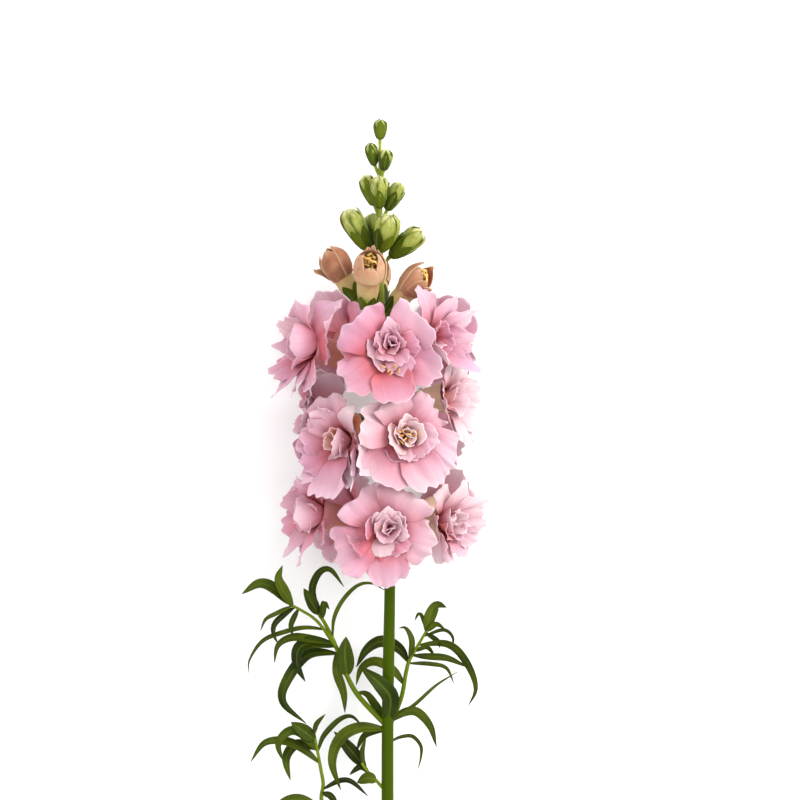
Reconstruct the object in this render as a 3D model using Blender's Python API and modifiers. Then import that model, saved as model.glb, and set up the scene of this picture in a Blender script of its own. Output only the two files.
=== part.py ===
"""A cut stem of a double-flowered snapdragon, lying on its side on a flat surface.

Metres, +Z up. The stem runs along +Y from its cut end to the tip, and the side that faces a viewer of the
upright flower faces up. The surface is z = 0. Shapes are worked out in millimetres, and MM scales them
where a mesh is made.
"""

import math
import random

import bmesh
import bpy
import numpy as np
from mathutils import Matrix, Vector

MM = 0.001

# Stem: x, y, z and radius of its centreline, from the cut end to the tip
STEM_ROUTE = (
    (0.0, 0.0, 2.7, 2.9),
    (-0.2, 60.0, 11.8, 2.85),
    (-0.2, 128.0, 21.4, 2.7),
    (0.8, 190.0, 29.6, 2.45),
    (0.3, 213.0, 32.0, 2.1),
    (-0.6, 257.0, 35.2, 1.8),
    (-2.4, 300.0, 36.8, 1.6),
    (-3.3, 330.0, 38.2, 1.35),
    (-3.5, 362.0, 39.2, 1.0),
    (-3.6, 390.6, 40.0, 0.75),
)
STEM_SIDES = 8
SEAT_GAP = 0.3
WELD = 0.004
SHARP_EDGE = 50.0
SLAB = (1.2, 1.2, 0.01)

# Blooms: how much lower the pedicel starts, and the sizes of the tube and of the face
MOUTH_RISE = 7.0
FACE_DEPTH = 8.0
PEDICEL_LENGTH = 7.5
PEDICEL_RADIUS = 1.1
TUBE_BASE_RADIUS = 2.7
TUBE_RADIUS = 6.0
TUBE_SWELL_LENGTH = 14.0

# Petals: thickness, how deep they root, how their rim is rounded and where they are widest
PETAL_THICKNESS = 0.8
PETAL_ROOT_DEPTH = 1.0
PETAL_TWIST = 0.17
RIM_ROUNDING = 0.24
RIM_SHAPE = 2.6
ROOT_WIDTH = 0.20
WIDENING = 1.15
RIM_WAVE = 2.6
SIDE_WAVE = 5.5
ANGLE_SPREAD = 7.0
LENGTH_SPREAD = 0.06
BEND_SPREAD = 9.0

# How petals keep clear of their neighbours and of the surface
NEIGHBOUR_RANGE = 62.0
NEIGHBOUR_MARGIN = 1.1
NEIGHBOUR_REACH = 5.0
ROW_STEP = 25.0
ROW_OVERLAP = 0.9
SURFACE_MARGIN = 1.3
SURFACE_REACH = 3.0
RESTING_DIP = 0.15
RESTING_BITE = 1.0
RESTING_REACH = 1.5
PRESS_BEND = 0.7

# Calyx: five sepals joined into a cup
SEPAL_COUNT = 5
SEPALS = (8.5, 3.4)
PEACH_SEPALS = (7.0, 3.0)
GREEN_SEPALS = (8.0, 4.0)
CALYX_WALL = 0.65
CALYX_GAP = 0.45
CALYX_BASE = 1.8
PEDICEL_BITE = 0.7

# Leaves: thickness, length and turn of one segment, narrowest half width
LEAF_THICKNESS = 0.65
LEAF_SEGMENT = 14.0
LEAF_TURN = 60.0
LEAF_NARROW = 0.4
LEAF_SHAPE = 0.8

# Each bloom: azimuth round the stem (0 faces up), y of its face, reach of its tube, size, roll, nod towards
# the tip, and whether it rests on the surface
BLOOMS = {
    "bloom_top_front": (3, 294.5, 28, 1.12, 0, 2, False),
    "bloom_top_left": (-66, 297, 34, 1.0, 24, 2, False),
    "bloom_top_right": (49, 301, 27, 0.9, 16, 6, False),
    "bloom_top_back_left": (-147, 301, 30, 1.0, 12, 4, True),
    "bloom_top_back_right": (134, 300, 31, 0.96, 8, 4, True),
    "bloom_middle_front": (16, 258, 28, 1.12, 10, 0, False),
    "bloom_middle_left": (-42, 256, 29, 1.02, -8, -3, False),
    "bloom_middle_right": (68, 275, 29, 0.85, 14, 4, False),
    "bloom_middle_back_left": (-112, 266, 30, 1.0, 4, 4, False),
    "bloom_middle_back_right": (146, 259, 28, 1.0, -10, 0, False),
    "bloom_bottom_front": (-3, 215, 28, 1.1, 0, -3, False),
    "bloom_bottom_left": (-66, 223, 33.5, 0.95, 10, 0, False),
    "bloom_bottom_right": (54, 219, 30, 0.9, 14, 2, False),
    "bloom_bottom_back_left": (-147, 221, 28, 0.95, 6, 0, False),
    "bloom_bottom_back_right": (133, 223, 28, 0.95, 6, 0, False),
}

# Petals of a bloom: angle in its face, length, half width, start and end angle off its axis, cup, ruffle
OUTER_PETALS = (
    (52, 23.5, 11.0, 28, 100, -0.012, 0.8),
    (128, 24.0, 11.0, 28, 98, -0.010, 0.8),
    (203, 22.5, 10.5, 30, 106, -0.010, 0.9),
    (270, 23.5, 9.5, 34, 102, 0.025, 0.7),
    (338, 22.5, 10.5, 30, 104, -0.010, 0.9),
)
INNER_PETALS = (
    (95, 15.0, 7.0, 12, 62, 0.08, 0.9),
    (212, 14.0, 7.5, 16, 76, 0.06, 1.0),
    (332, 14.5, 7.0, 14, 70, 0.07, 1.0),
)
CENTRE_PETALS = ((60, 12.0, 4.6, 4, 24, 0.22, 0.6),)
OUTER_ROOT_RADIUS = 4.4
INNER_ROOT_RADIUS = 3.0
CENTRE_ROOT_RADIUS = 1.2

# Peach buds, half open: y of the pedicel, seat of the bud in its calyx, its far end, greatest radius
PEACH_BUDS = {
    "bud_peach_left": (309.0, (-14.2, 320.4, 39.6), (-27.6, 341.0, 43.0), 7.2),
    "bud_peach_front": (306.0, (-9.4, 315.6, 48.0), (-7.6, 339.6, 60.0), 7.9),
    "bud_peach_right": (304.0, (-0.2, 313.6, 44.0), (18.0, 333.0, 49.0), 7.2),
    "bud_peach_back": (310.0, (-3.0, 318.0, 31.0), (-6.0, 337.0, 19.0), 6.6),
}
# Along the bud from 0 to 1, radius as a share of the greatest; the last ones dip into the open mouth
PEACH_PROFILE = (
    (0.0, 0.0), (0.0, 0.37), (0.26, 0.62), (0.44, 0.66), (0.55, 0.9), (0.72, 1.0), (0.88, 0.86),
    (1.0, 0.5), (0.9, 0.28), (0.8, 0.0),
)
PEACH_LIPS = (
    (0, 9.0, 5.4, 8, 48, 0.12, 0.5),
    (125, 9.0, 5.4, 4, 40, 0.12, 0.5),
    (240, 9.0, 5.4, 6, 44, 0.12, 0.5),
)
PEACH_FOLD = 0.05
LIP_ROOT_RADIUS = 0.9
LIP_ROOT = 0.68

# Green buds: y of the pedicel, seat of the bud, its far end, greatest radius, whether it shows a calyx
GREEN_BUDS = {
    "bud_green_01": (332.0, (1.6, 339.0, 40.2), (15.0, 350.0, 43.5), 4.7, True),
    "bud_green_02": (334.0, (-9.4, 342.4, 38.6), (-18.8, 359.6, 41.0), 4.9, True),
    "bud_green_03": (333.0, (-3.2, 341.6, 43.6), (1.2, 356.8, 50.6), 5.6, True),
    "bud_green_04": (337.0, (-5.4, 343.0, 33.6), (-7.4, 358.0, 27.0), 4.4, True),
    "bud_green_05": (354.0, (-0.4, 359.6, 39.6), (5.6, 371.8, 42.0), 3.7, False),
    "bud_green_06": (356.0, (-6.2, 361.8, 38.8), (-10.6, 375.2, 39.8), 3.6, False),
    "bud_green_07": (355.0, (-3.7, 360.6, 42.4), (-4.3, 374.2, 49.4), 3.9, False),
    "bud_green_08": (357.0, (-3.2, 362.6, 36.4), (-3.0, 375.0, 31.0), 3.4, False),
    "bud_green_09": (373.0, (-1.8, 377.4, 42.0), (-0.6, 386.6, 44.6), 3.0, False),
    "bud_green_10": (375.0, (-6.1, 379.6, 40.0), (-8.2, 389.4, 41.0), 2.7, False),
    "bud_green_tip": (390.5, (-3.6, 391.3, 40.2), (-3.4, 400.0, 40.5), 3.0, False),
}
GREEN_PROFILE = ((0.0, 0.0), (0.03, 0.35), (0.28, 0.8), (0.62, 1.0), (0.92, 0.72), (1.0, 0.0))
GREEN_FOLD = 0.06
GREEN_PEDICEL_RADIUS = 0.8

# Leaves: width, roll out of the plan, rise of the middle and of the tip, points in the plan from root to tip
STEM_LEAVES = (
    (3.2, 60, 1, 4, ((2, 128), (11, 136), (21.5, 145), (31.5, 151))),
    (5.5, 40, 3, -4, ((2.5, 128.5), (7, 133), (13.5, 133), (19.5, 126), (22, 116.5))),
    (6.5, 40, 5, -2, ((-2, 125.5), (-13, 125), (-21.5, 120), (-25, 110), (-21.5, 97))),
    (3.5, 30, -1, -5, ((-2, 124), (-10, 122), (-14.5, 114.5))),
    (8.0, 10, 4, 8, ((0.5, 128.5), (1, 139), (-3.5, 145.5), (-8.5, 150), (-12.5, 153.5))),
    (4.0, 25, -2, -4, ((-2.5, 129), (-6.5, 136), (-10, 140.5), (-15.5, 141))),
    (2.4, 45, -3, -6, ((1.5, 117), (5, 121), (11, 121.5), (15, 117), (15, 111.5), (13.5, 106))),
    (4.0, 35, -2, -6, ((0.5, 204), (6.5, 202.5), (10, 197.5))),
    (5.0, 40, 3, -4, ((2, 60), (12, 63), (20, 58), (24, 46))),
    (6.0, 40, 4, -4, ((-2, 56), (-13, 55), (-20, 47), (-21, 36))),
)

# Side shoots: points of the line, radius at base and tip, leaves
SHOOT_LEFT = (
    ((-4.5, 130.0, 22.0), (-13.0, 139.5, 24.6), (-18.5, 149.0, 26.4), (-22.0, 158.5, 28.0),
     (-25.0, 166.0, 29.2), (-28.5, 173.0, 29.8), (-31.5, 177.5, 30.2)),
    (1.25, 0.75),
    (
        (5.6, 20, 2, 4, ((-31.5, 177), (-34.5, 182.5), (-38, 189))),
        (3.8, 30, 0, -4, ((-31, 176), (-34.5, 187.5), (-31.5, 196), (-26, 197.5), (-20, 189.5))),
        (3.2, 20, 2, 1, ((-30, 175), (-29, 182.5), (-26.5, 179.5))),
        (2.8, 45, 3, -4, ((-29.5, 168.5), (-37.5, 171), (-47, 169), (-56.5, 165), (-62.5, 156.5),
                          (-63, 150.5))),
        (4.6, 40, 2, -4, ((-26, 163), (-34, 165.5), (-43, 166.5), (-49.5, 163), (-51.5, 155))),
        (6.6, 35, 3, -4, ((-25, 162), (-34, 164), (-40, 161.5), (-41, 154.5), (-37.5, 146.5))),
        (6.2, 40, -1, -2, ((-24, 158.5), (-36, 158.5), (-45, 147.5), (-47, 137.5), (-37, 127.5))),
        (2.4, 40, 2, 7, ((-25.5, 166.5), (-24.5, 175.5), (-20.5, 184), (-14, 190.5), (-7.5, 191.5),
                         (-1, 188))),
        (8.0, 10, 2, 3, ((-18.5, 149), (-19.5, 158.5), (-19, 167))),
        (4.4, 20, 2, -2, ((-23.5, 161), (-23, 152), (-20, 142), (-19.5, 132.5))),
    ),
)
SHOOT_LEFT_FORK = (
    ((-23.6, 162.0, 28.4), (-29.0, 170.5, 31.4), (-33.5, 175.5, 32.4), (-39.0, 179.0, 33.4),
     (-44.5, 182.0, 35.0)),
    (0.8, 0.6),
    (
        (5.6, 30, 3, -2, ((-44, 182), (-51, 188.5), (-58, 191), (-66, 186.5))),
        (5.2, 25, 2, 5, ((-42.5, 182), (-47.5, 188.5), (-49.5, 194), (-47.5, 199.5))),
        (3.6, 45, 1, -4, ((-44, 176.5), (-50, 174), (-51.5, 169), (-49.5, 163.5))),
        (2.6, 45, 2, -3, ((-44, 179.5), (-50.5, 177.5), (-55, 175), (-57.5, 170))),
        (3.0, 35, 1, -3, ((-41.5, 177.5), (-43.5, 172.5), (-43, 167))),
    ),
)
SHOOT_RIGHT = (
    ((3.6, 131.0, 20.4), (6.0, 139.0, 19.6), (8.0, 149.5, 18.6), (9.5, 155.5, 18.4),
     (12.0, 160.0, 18.8), (15.5, 166.0, 19.8), (17.5, 169.5, 20.6)),
    (1.1, 0.6),
    (
        (6.0, 25, 2, 1, ((17.5, 169), (19, 177), (22, 181.5), (26.5, 180))),
        (2.2, 40, 1, 0, ((16.5, 170.5), (14.5, 177), (12, 174))),
        (3.0, 30, 1, 0, ((17.5, 169), (21.5, 172.5), (25.5, 170.5))),
        (2.6, 30, 1, -1, ((17, 168.5), (22.5, 165), (23.5, 161.5))),
        (2.2, 45, 2, -2, ((16, 167), (25, 170), (29.5, 166.5), (29, 160.5))),
        (4.6, 40, 3, -5, ((13.5, 163), (25, 164), (32, 160.5), (38, 151.5), (40, 142.5), (36.5, 135))),
        (4.0, 35, 3, -2, ((11.5, 158), (19, 158), (27.5, 157), (36.5, 152.5))),
        (2.8, 45, -1, -4, ((9.5, 154.5), (19, 154.5), (26.5, 152.5), (30, 145))),
        (3.2, 35, 2, 1, ((9.5, 156), (10.5, 165), (8, 170.5), (5, 170.5))),
        (2.4, 30, 1, -2, ((12, 160), (17.5, 162), (21.5, 157.5))),
        (6.0, 30, -1, -3, ((9, 155), (4.5, 161), (-3, 164), (-9.5, 160.5), (-14.5, 152.5))),
        (5.0, 35, -1, -3, ((7, 145), (2, 151), (-6, 155), (-12, 152), (-14.5, 144.5))),
    ),
)
SHOOT_LOWER_LEFT = (
    ((-4.0, 60.6, 12.2), (-14.0, 66.0, 13.0), (-23.5, 77.5, 14.0), (-30.0, 91.0, 15.5),
     (-29.5, 99.5, 16.6), (-30.5, 106.0, 17.6), (-32.0, 114.5, 18.8), (-33.5, 122.5, 19.6)),
    (1.2, 0.6),
    (
        (3.2, 40, -1, -3, ((-32, 114.5), (-29.5, 121.5), (-22.5, 129), (-16.5, 130.5), (-11.5, 125.5))),
        (2.6, 30, 2, 2, ((-33.5, 122.5), (-32.5, 127.5), (-28.5, 131.5))),
        (6.5, 15, 1, 3, ((-33, 119.5), (-38.5, 124), (-44, 128))),
        (5.0, 35, 3, -3, ((-32.5, 114.5), (-40, 123), (-45.5, 123), (-49.5, 117.5), (-47.5, 109.5))),
        (5.0, 30, -1, -5, ((-32.5, 115.5), (-41, 117.5), (-46, 111.5), (-44.5, 101))),
        (4.8, 40, 2, -4, ((-31.5, 109), (-40, 116), (-47.5, 119), (-56, 118), (-62.5, 109.5))),
        (3.2, 40, 2, 0, ((-29, 97), (-22.5, 101.5), (-16.5, 101), (-9, 94))),
        (3.6, 30, 3, 0, ((-29.5, 95), (-26, 94.5), (-22.5, 89.5))),
        (5.0, 35, 3, -3, ((-31, 85.5), (-40, 92.5), (-49, 89.5), (-55.5, 79))),
    ),
)
SHOOT_SMALL = (
    ((-4.2, 99.4, 18.0), (-5.5, 101.5, 19.4), (-9.5, 106.0, 21.4), (-12.0, 109.5, 22.4)),
    (0.85, 0.6),
    (
        (6.0, 15, -2, -3, ((-10, 106.5), (-17, 115), (-24.5, 123.5))),
        (2.6, 30, 0, -2, ((-11, 108), (-12, 114.5), (-10, 121))),
        (5.4, 20, 2, 1, ((-5, 101.5), (-9, 102.5), (-14, 100.5))),
        (3.0, 30, 1, -2, ((-8.5, 105), (-12.5, 107.5), (-17.5, 104))),
    ),
)

COLOURS = {
    "green": (0.10, 0.19, 0.02),
    "bud": (0.34, 0.42, 0.09),
    "peach": (0.62, 0.33, 0.20),
    "petal": (0.80, 0.42, 0.52),
}


def unit(vector):
    """The vector at length 1."""
    vector = np.asarray(vector, float)
    return vector / np.linalg.norm(vector)


def smooth_line(points, count):
    """Points along a Catmull-Rom curve through the given ones."""
    p = np.array(points, float)
    ends = np.vstack([2 * p[0] - p[1], p, 2 * p[-1] - p[-2]])
    t = np.linspace(0, len(p) - 1, count)
    i = np.minimum(t.astype(int), len(p) - 2)
    f = (t - i)[:, None]
    a, b, c, d = ends[i], ends[i + 1], ends[i + 2], ends[i + 3]
    return b + 0.5 * f * (c - a + f * (2 * a - 5 * b + 4 * c - d + f * (3 * (b - c) + d - a)))


STEM_LINE = smooth_line(STEM_ROUTE, 91)


def stem_at(y):
    """Centre of the stem at that y."""
    return np.array([np.interp(y, STEM_LINE[:, 1], STEM_LINE[:, k]) for k in range(3)])


# Materials and objects


def material(name):
    """A plain principled material of that colour."""
    made = bpy.data.materials.get(name)
    if made is None:
        made = bpy.data.materials.new(name)
        made.use_nodes = True
        shader = made.node_tree.nodes["Principled BSDF"]
        shader.inputs["Base Color"].default_value = (*COLOURS[name], 1.0)
        shader.inputs["Roughness"].default_value = 0.55
        shader.inputs["Metallic"].default_value = 0.0
    return made


def loose_object(name, mesh):
    """An object that is not yet in a collection."""
    return bpy.data.objects.new(name, mesh)


def evaluated_mesh(obj):
    """The object's mesh with its modifiers applied."""
    bpy.context.view_layer.update()
    graph = bpy.context.evaluated_depsgraph_get()
    return bpy.data.meshes.new_from_object(obj.evaluated_get(graph))


def rod(name, points, radii, sides=6):
    """A round tapered rod along the points, with flat ends, as a closed mesh."""
    curve = bpy.data.curves.new(name, "CURVE")
    curve.dimensions = "3D"
    curve.bevel_depth = MM
    curve.bevel_resolution = (sides - 4) // 2
    curve.use_fill_caps = True
    spline = curve.splines.new("POLY")
    spline.points.add(len(points) - 1)
    for made, point, radius in zip(spline.points, points, radii):
        made.co = (*(np.asarray(point) * MM), 1.0)
        made.radius = radius
    source = loose_object(name, curve)
    bpy.context.scene.collection.objects.link(source)
    mesh = evaluated_mesh(source)
    bpy.data.objects.remove(source)
    bm = bmesh.new()
    bm.from_mesh(mesh)
    bmesh.ops.remove_doubles(bm, verts=bm.verts, dist=0.001 * MM)
    bmesh.ops.recalc_face_normals(bm, faces=bm.faces)
    bm.to_mesh(mesh)
    bm.free()
    return loose_object(name, mesh)


def blade(name, shape, across, along, thickness):
    """A thin closed blade. shape(u, v) gives points in millimetres, u from root to tip, v from -1 to 1."""
    bm = bmesh.new()
    bmesh.ops.create_grid(bm, x_segments=across, y_segments=along, size=1.0)
    bmesh.ops.triangulate(bm, faces=bm.faces, quad_method="FIXED")
    flat = np.array([v.co for v in bm.verts])
    points = shape((flat[:, 1] + 1) / 2, flat[:, 0])
    for vert, point in zip(bm.verts, points):
        vert.co = point * MM
    mesh = bpy.data.meshes.new(name)
    bm.to_mesh(mesh)
    bm.free()
    made = loose_object(name, mesh)
    solid = made.modifiers.new("thickness", "SOLIDIFY")
    solid.thickness = thickness * MM
    solid.offset = 0.0
    return made


def lathe(name, rings, place, sides, fold=0.0):
    """A closed body of rings. Each ring gives a height and a radius, or a function of the turn for both."""
    bm = bmesh.new()
    bmesh.ops.create_uvsphere(bm, u_segments=sides, v_segments=len(rings) - 1, radius=1.0)
    for vert in bm.verts:
        level = (math.pi - math.acos(max(-1.0, min(1.0, vert.co.z)))) / math.pi * (len(rings) - 1)
        turn = math.atan2(vert.co.y, vert.co.x)
        ring = rings[round(level)]
        height, radius = ring(turn) if callable(ring) else ring
        radius = radius * (1 + fold * math.cos(SEPAL_COUNT * turn))
        vert.co = Vector(place(radius * math.cos(turn), radius * math.sin(turn), height) * MM)
    mesh = bpy.data.meshes.new(name)
    bm.to_mesh(mesh)
    bm.free()
    return loose_object(name, mesh)


def along_axis(origin, axis):
    """A place function for lathe, and the frame it stands in."""
    first, second = side_axes(axis)

    def place(x, y, z):
        return origin + x * first + y * second + z * axis

    return place, (first, second)


def shells_of(faces, most_faces):
    """Groups of these faces, joined along edges with no more faces than that, the largest group last."""
    unseen = set(faces)
    shells = []
    while unseen:
        shell, border = set(), [unseen.pop()]
        while border:
            face = border.pop()
            shell.add(face)
            for edge in face.edges:
                for other in edge.link_faces:
                    if len(edge.link_faces) <= most_faces and other in unseen:
                        unseen.discard(other)
                        border.append(other)
        shells.append(shell)
    return sorted(shells, key=len)


def can_go(shell):
    """Whether the rest stays closed without this group of faces."""
    edges = {edge for face in shell for edge in face.edges}
    return all(sum(face not in shell for face in edge.link_faces) % 2 == 0 for edge in edges)


def keep_largest_shell(mesh):
    """Removes sealed hollows and loose scraps, so that one body stays."""
    bm = bmesh.new()
    bm.from_mesh(mesh)
    bmesh.ops.triangulate(bm, faces=bm.faces)
    bmesh.ops.remove_doubles(bm, verts=bm.verts, dist=WELD * MM)
    bmesh.ops.dissolve_degenerate(bm, edges=bm.edges, dist=WELD * MM)
    small = [face for shell in shells_of(bm.faces, 2)[:-1] for face in shell]
    scraps = [face for shell in shells_of(small, 8) if can_go(shell) for face in shell]
    bmesh.ops.delete(bm, geom=scraps, context="FACES")
    bm.to_mesh(mesh)
    bm.free()


def boolean(mesh, others, operation):
    """The mesh joined with, or cut by, a collection of other objects."""
    working = bpy.data.collections.new("working")
    bpy.context.scene.collection.children.link(working)
    base = loose_object("base", mesh)
    bpy.context.scene.collection.objects.link(base)
    for other in others:
        working.objects.link(other)
    modifier = base.modifiers.new(operation.lower(), "BOOLEAN")
    modifier.operation = operation
    modifier.operand_type = "COLLECTION"
    modifier.collection = working
    modifier.solver = "EXACT"
    result = evaluated_mesh(base)
    bpy.data.objects.remove(base)
    for other in others:
        bpy.data.objects.remove(other)
    bpy.data.collections.remove(working)
    return result


def surface_slab():
    """A slab whose top is the surface, to cut flat resting spots."""
    bm = bmesh.new()
    bmesh.ops.create_cube(bm, size=1.0)
    bmesh.ops.scale(bm, vec=SLAB, verts=bm.verts)
    bmesh.ops.translate(bm, vec=(0.0, 0.0, -SLAB[2] / 2), verts=bm.verts)
    mesh = bpy.data.meshes.new("surface_slab")
    bm.to_mesh(mesh)
    bm.free()
    return loose_object("surface_slab", mesh)


def fuse(name, pieces, colour, place=None, rests=False):
    """Joins the pieces into one body, cuts it at the surface if it rests there, and puts it in its place."""
    first, rest = pieces[0], pieces[1:]
    start = first.data
    if first.modifiers:
        bpy.context.scene.collection.objects.link(first)
        start = evaluated_mesh(first)
    bpy.data.objects.remove(first)
    mesh = boolean(start, rest, "UNION") if rest else start
    if rests:
        mesh = boolean(mesh, [surface_slab()], "DIFFERENCE")
    keep_largest_shell(mesh)
    frame = place or Matrix.Identity(4)
    mesh.transform(frame.inverted())
    mesh.name = name
    mesh.materials.clear()
    mesh.materials.append(material(colour))
    mesh.shade_smooth()
    mesh.set_sharp_from_angle(angle=math.radians(SHARP_EDGE))
    made = loose_object(name, mesh)
    made.matrix_world = frame
    SNAPDRAGON.objects.link(made)
    return made


def frame_matrix(origin, right, up, axis):
    """Matrix of a frame with its origin in millimetres."""
    matrix = Matrix.Identity(4)
    for column, vector in enumerate((right, up, axis)):
        matrix.col[column][:3] = tuple(vector)
    matrix.col[3][:3] = tuple(np.asarray(origin) * MM)
    return matrix


# Petals and blooms


def petal_points(u, v, petal, root_radius, phase):
    """Points of a petal in the frame of its bloom, whose +Z is the way it faces."""
    angle, length, half_width, start, end, cup, ruffle = petal
    first, turn = math.radians(start), math.radians(end - start)
    rim = 1.0 - RIM_ROUNDING * np.abs(v) ** RIM_SHAPE
    share = u * rim
    tangent = first + turn * share
    out = root_radius + length / turn * (math.cos(first) - np.cos(tangent))
    forward = length / turn * (np.sin(tangent) - math.sin(first)) - PETAL_ROOT_DEPTH
    spread = ROOT_WIDTH + (1.0 - ROOT_WIDTH) * np.sin(0.5 * math.pi * np.minimum(u * WIDENING, 1.0))
    side = half_width * spread * v
    across = np.sin(cup * side) / cup
    wave = np.sin(RIM_WAVE * v + phase) * u**2 + np.sin(SIDE_WAVE * u + phase) * v * np.abs(v) * u
    lift = (1 - np.cos(cup * side)) / cup + ruffle * wave + PETAL_TWIST * side
    out, forward = out - lift * np.cos(tangent), forward + lift * np.sin(tangent)
    turned = math.radians(angle)
    return np.stack(
        [
            out * math.cos(turned) - across * math.sin(turned),
            out * math.sin(turned) + across * math.cos(turned),
            forward,
        ],
        axis=-1,
    )


class Bloom:
    """Where one bloom stands: its pedicel, its tube, and the frame of its face, which faces +Z there."""

    def __init__(self, azimuth, face_y, reach, size, roll, nod, rests):
        turn, tilt, spin = math.radians(azimuth), math.radians(nod), math.radians(roll)
        out = np.array([math.sin(turn), 0.0, math.cos(turn)])
        tipward = np.array([0.0, 1.0, 0.0])
        self.size, self.rests = size, rests
        self.root = stem_at(face_y - MOUTH_RISE)
        self.mouth = stem_at(face_y) + reach * out
        self.facing = unit(math.cos(tilt) * out + math.sin(tilt) * tipward)
        up = unit(tipward - (tipward @ self.facing) * self.facing)
        right = np.cross(up, self.facing)
        self.right = math.cos(spin) * right + math.sin(spin) * up
        self.up = np.cross(self.facing, self.right)
        self.tube_axis = unit(self.mouth - self.root)
        self.seat = self.root + self.tube_axis * PEDICEL_LENGTH
        self.centre = self.mouth + FACE_DEPTH * self.facing

    def place(self, local):
        """Local points of the face, in the part's frame."""
        basis = np.stack([self.right, self.up, self.facing])
        return self.mouth + (local * self.size) @ basis


def press(points, origin, normal, facing, margin, reach, bend):
    """Eases points back from a plane so that none comes within the margin, bent along it towards facing."""
    depth = (points - origin) @ normal
    span = reach - margin
    eased = np.where(depth < reach, margin + span * np.exp(np.minimum(depth - reach, 0.0) / span), depth)
    along = facing - (facing @ normal) * normal
    along = along / max(np.linalg.norm(along), 1e-6)
    return points + (eased - depth)[:, None] * (normal + bend * along)


def separating_planes(bloom, blooms):
    """A plane between this bloom and each near one. The upper bloom of two rows lies over the lower one."""
    planes = []
    for other in blooms:
        gap = bloom.centre - other.centre
        if other is bloom or np.linalg.norm(gap) > NEIGHBOUR_RANGE:
            continue
        normal = unit(gap)
        if abs(gap[1]) > ROW_STEP:
            outward = unit(bloom.facing + other.facing)
            normal = unit(normal + ROW_OVERLAP * math.copysign(1.0, gap[1]) * outward)
        share = bloom.size**3 / (bloom.size**3 + other.size**3)
        planes.append((bloom.centre - share * gap, normal))
    return planes


def keep_clear(points, bloom, blooms):
    """Bends petals clear of the neighbouring blooms and of the surface."""
    surface = np.zeros(3), np.array([0.0, 0.0, 1.0]), bloom.facing
    if bloom.rests:
        lowest = PETAL_THICKNESS / 2 - RESTING_DIP
        floor_limits = (lowest - RESTING_BITE, lowest + RESTING_REACH)
    else:
        lowest = SURFACE_MARGIN
        floor_limits = (lowest, lowest + SURFACE_REACH)
    for bend in (PRESS_BEND, 0.0):
        for origin, normal in separating_planes(bloom, blooms):
            slide = math.copysign(bend, bloom.facing @ normal)
            points = press(points, origin, normal, bloom.facing, NEIGHBOUR_MARGIN, NEIGHBOUR_REACH, slide)
        points = press(points, *surface, *floor_limits, bend)
    if bloom.rests:
        points[:, 2] = np.maximum(points[:, 2], lowest)
    return points


def tube_radius(along):
    """Radius of a bloom's tube, that far from its base."""
    swell = np.sin(0.5 * math.pi * np.clip(along / TUBE_SWELL_LENGTH, 0.0, 1.0))
    return TUBE_BASE_RADIUS + (TUBE_RADIUS - TUBE_BASE_RADIUS) * swell


def tube(name, bloom):
    """A bloom's closed corolla tube."""
    stations = np.linspace(0.0, float(np.linalg.norm(bloom.mouth - bloom.seat)), 3)
    points = [bloom.seat + bloom.tube_axis * s for s in stations]
    return rod(name, points, [float(tube_radius(s)) for s in stations])


def varied_petal(petal, rng):
    """The petal with its own small differences in angle, length and bend."""
    angle, length, half_width, start, end, cup, ruffle = petal
    angle += rng.uniform(-ANGLE_SPREAD, ANGLE_SPREAD)
    length *= 1.0 + rng.uniform(-LENGTH_SPREAD, LENGTH_SPREAD)
    end += rng.uniform(-BEND_SPREAD, BEND_SPREAD)
    return angle, length, half_width, start, end, cup, ruffle


def bloom_body(name, bloom, blooms, seed):
    """One bloom: the tube with its petals rooted in the mouth."""
    rng = random.Random(seed)
    pieces = [tube(name, bloom)]
    at_back = bloom.facing[2] < 0.0
    whorls = (
        (OUTER_PETALS, OUTER_ROOT_RADIUS, 2, 2 if at_back else 3),
        (INNER_PETALS, INNER_ROOT_RADIUS, 2, 2),
        (CENTRE_PETALS, CENTRE_ROOT_RADIUS, 1, 2),
    )
    for petals, root_radius, across, along in whorls:
        for petal in petals:
            varied = varied_petal(petal, rng)
            phase = rng.uniform(0, 2 * math.pi)

            def shape(u, v, varied=varied, phase=phase, root_radius=root_radius):
                local = petal_points(u, v, varied, root_radius, phase)
                return keep_clear(bloom.place(local), bloom, blooms)

            pieces.append(blade("petal", shape, across, along, PETAL_THICKNESS))
    place = frame_matrix(bloom.mouth, bloom.right, bloom.up, bloom.facing)
    fuse(name, pieces, "petal", place, bloom.rests)


# Calyces and buds


def side_axes(axis):
    """Two directions square to an axis."""
    helper = np.array([0.0, 0.0, 1.0]) if abs(axis[2]) < 0.9 else np.array([1.0, 0.0, 0.0])
    first = unit(np.cross(helper, axis))
    return first, np.cross(axis, first)


def calyx(root, seat, axis, radius_at, sepals=SEPALS, stalk=PEDICEL_RADIUS):
    """A pedicel from the stem, and five sepals joined into a cup round what is seated in it."""
    tip, notch = sepals
    sides = 2 * SEPAL_COUNT
    widen = 1 / math.cos(math.pi / sides)
    floor = -SEAT_GAP
    place, _ = along_axis(seat, axis)

    def rim(wall):
        def ring(turn):
            height = tip if math.cos(SEPAL_COUNT * turn) > 0 else notch
            return height, (float(radius_at(height)) + CALYX_GAP) * widen + wall

        return ring

    inner = (float(radius_at(0.0)) + CALYX_GAP) * widen
    base, outer = (floor - CALYX_BASE, 0.0), (floor, inner + CALYX_WALL)
    rings = (base, outer, rim(CALYX_WALL), rim(0.0), (floor, inner), (floor, 0.0))
    cup = lathe("calyx", rings, place, sides)
    return [rod("pedicel", [root, seat + axis * (floor - PEDICEL_BITE)], (stalk, stalk)), cup]


def bud_axis(seat, end):
    """Seat, axis and length of a bud."""
    seat, end = np.array(seat), np.array(end)
    return seat, unit(end - seat), float(np.linalg.norm(end - seat))


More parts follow.
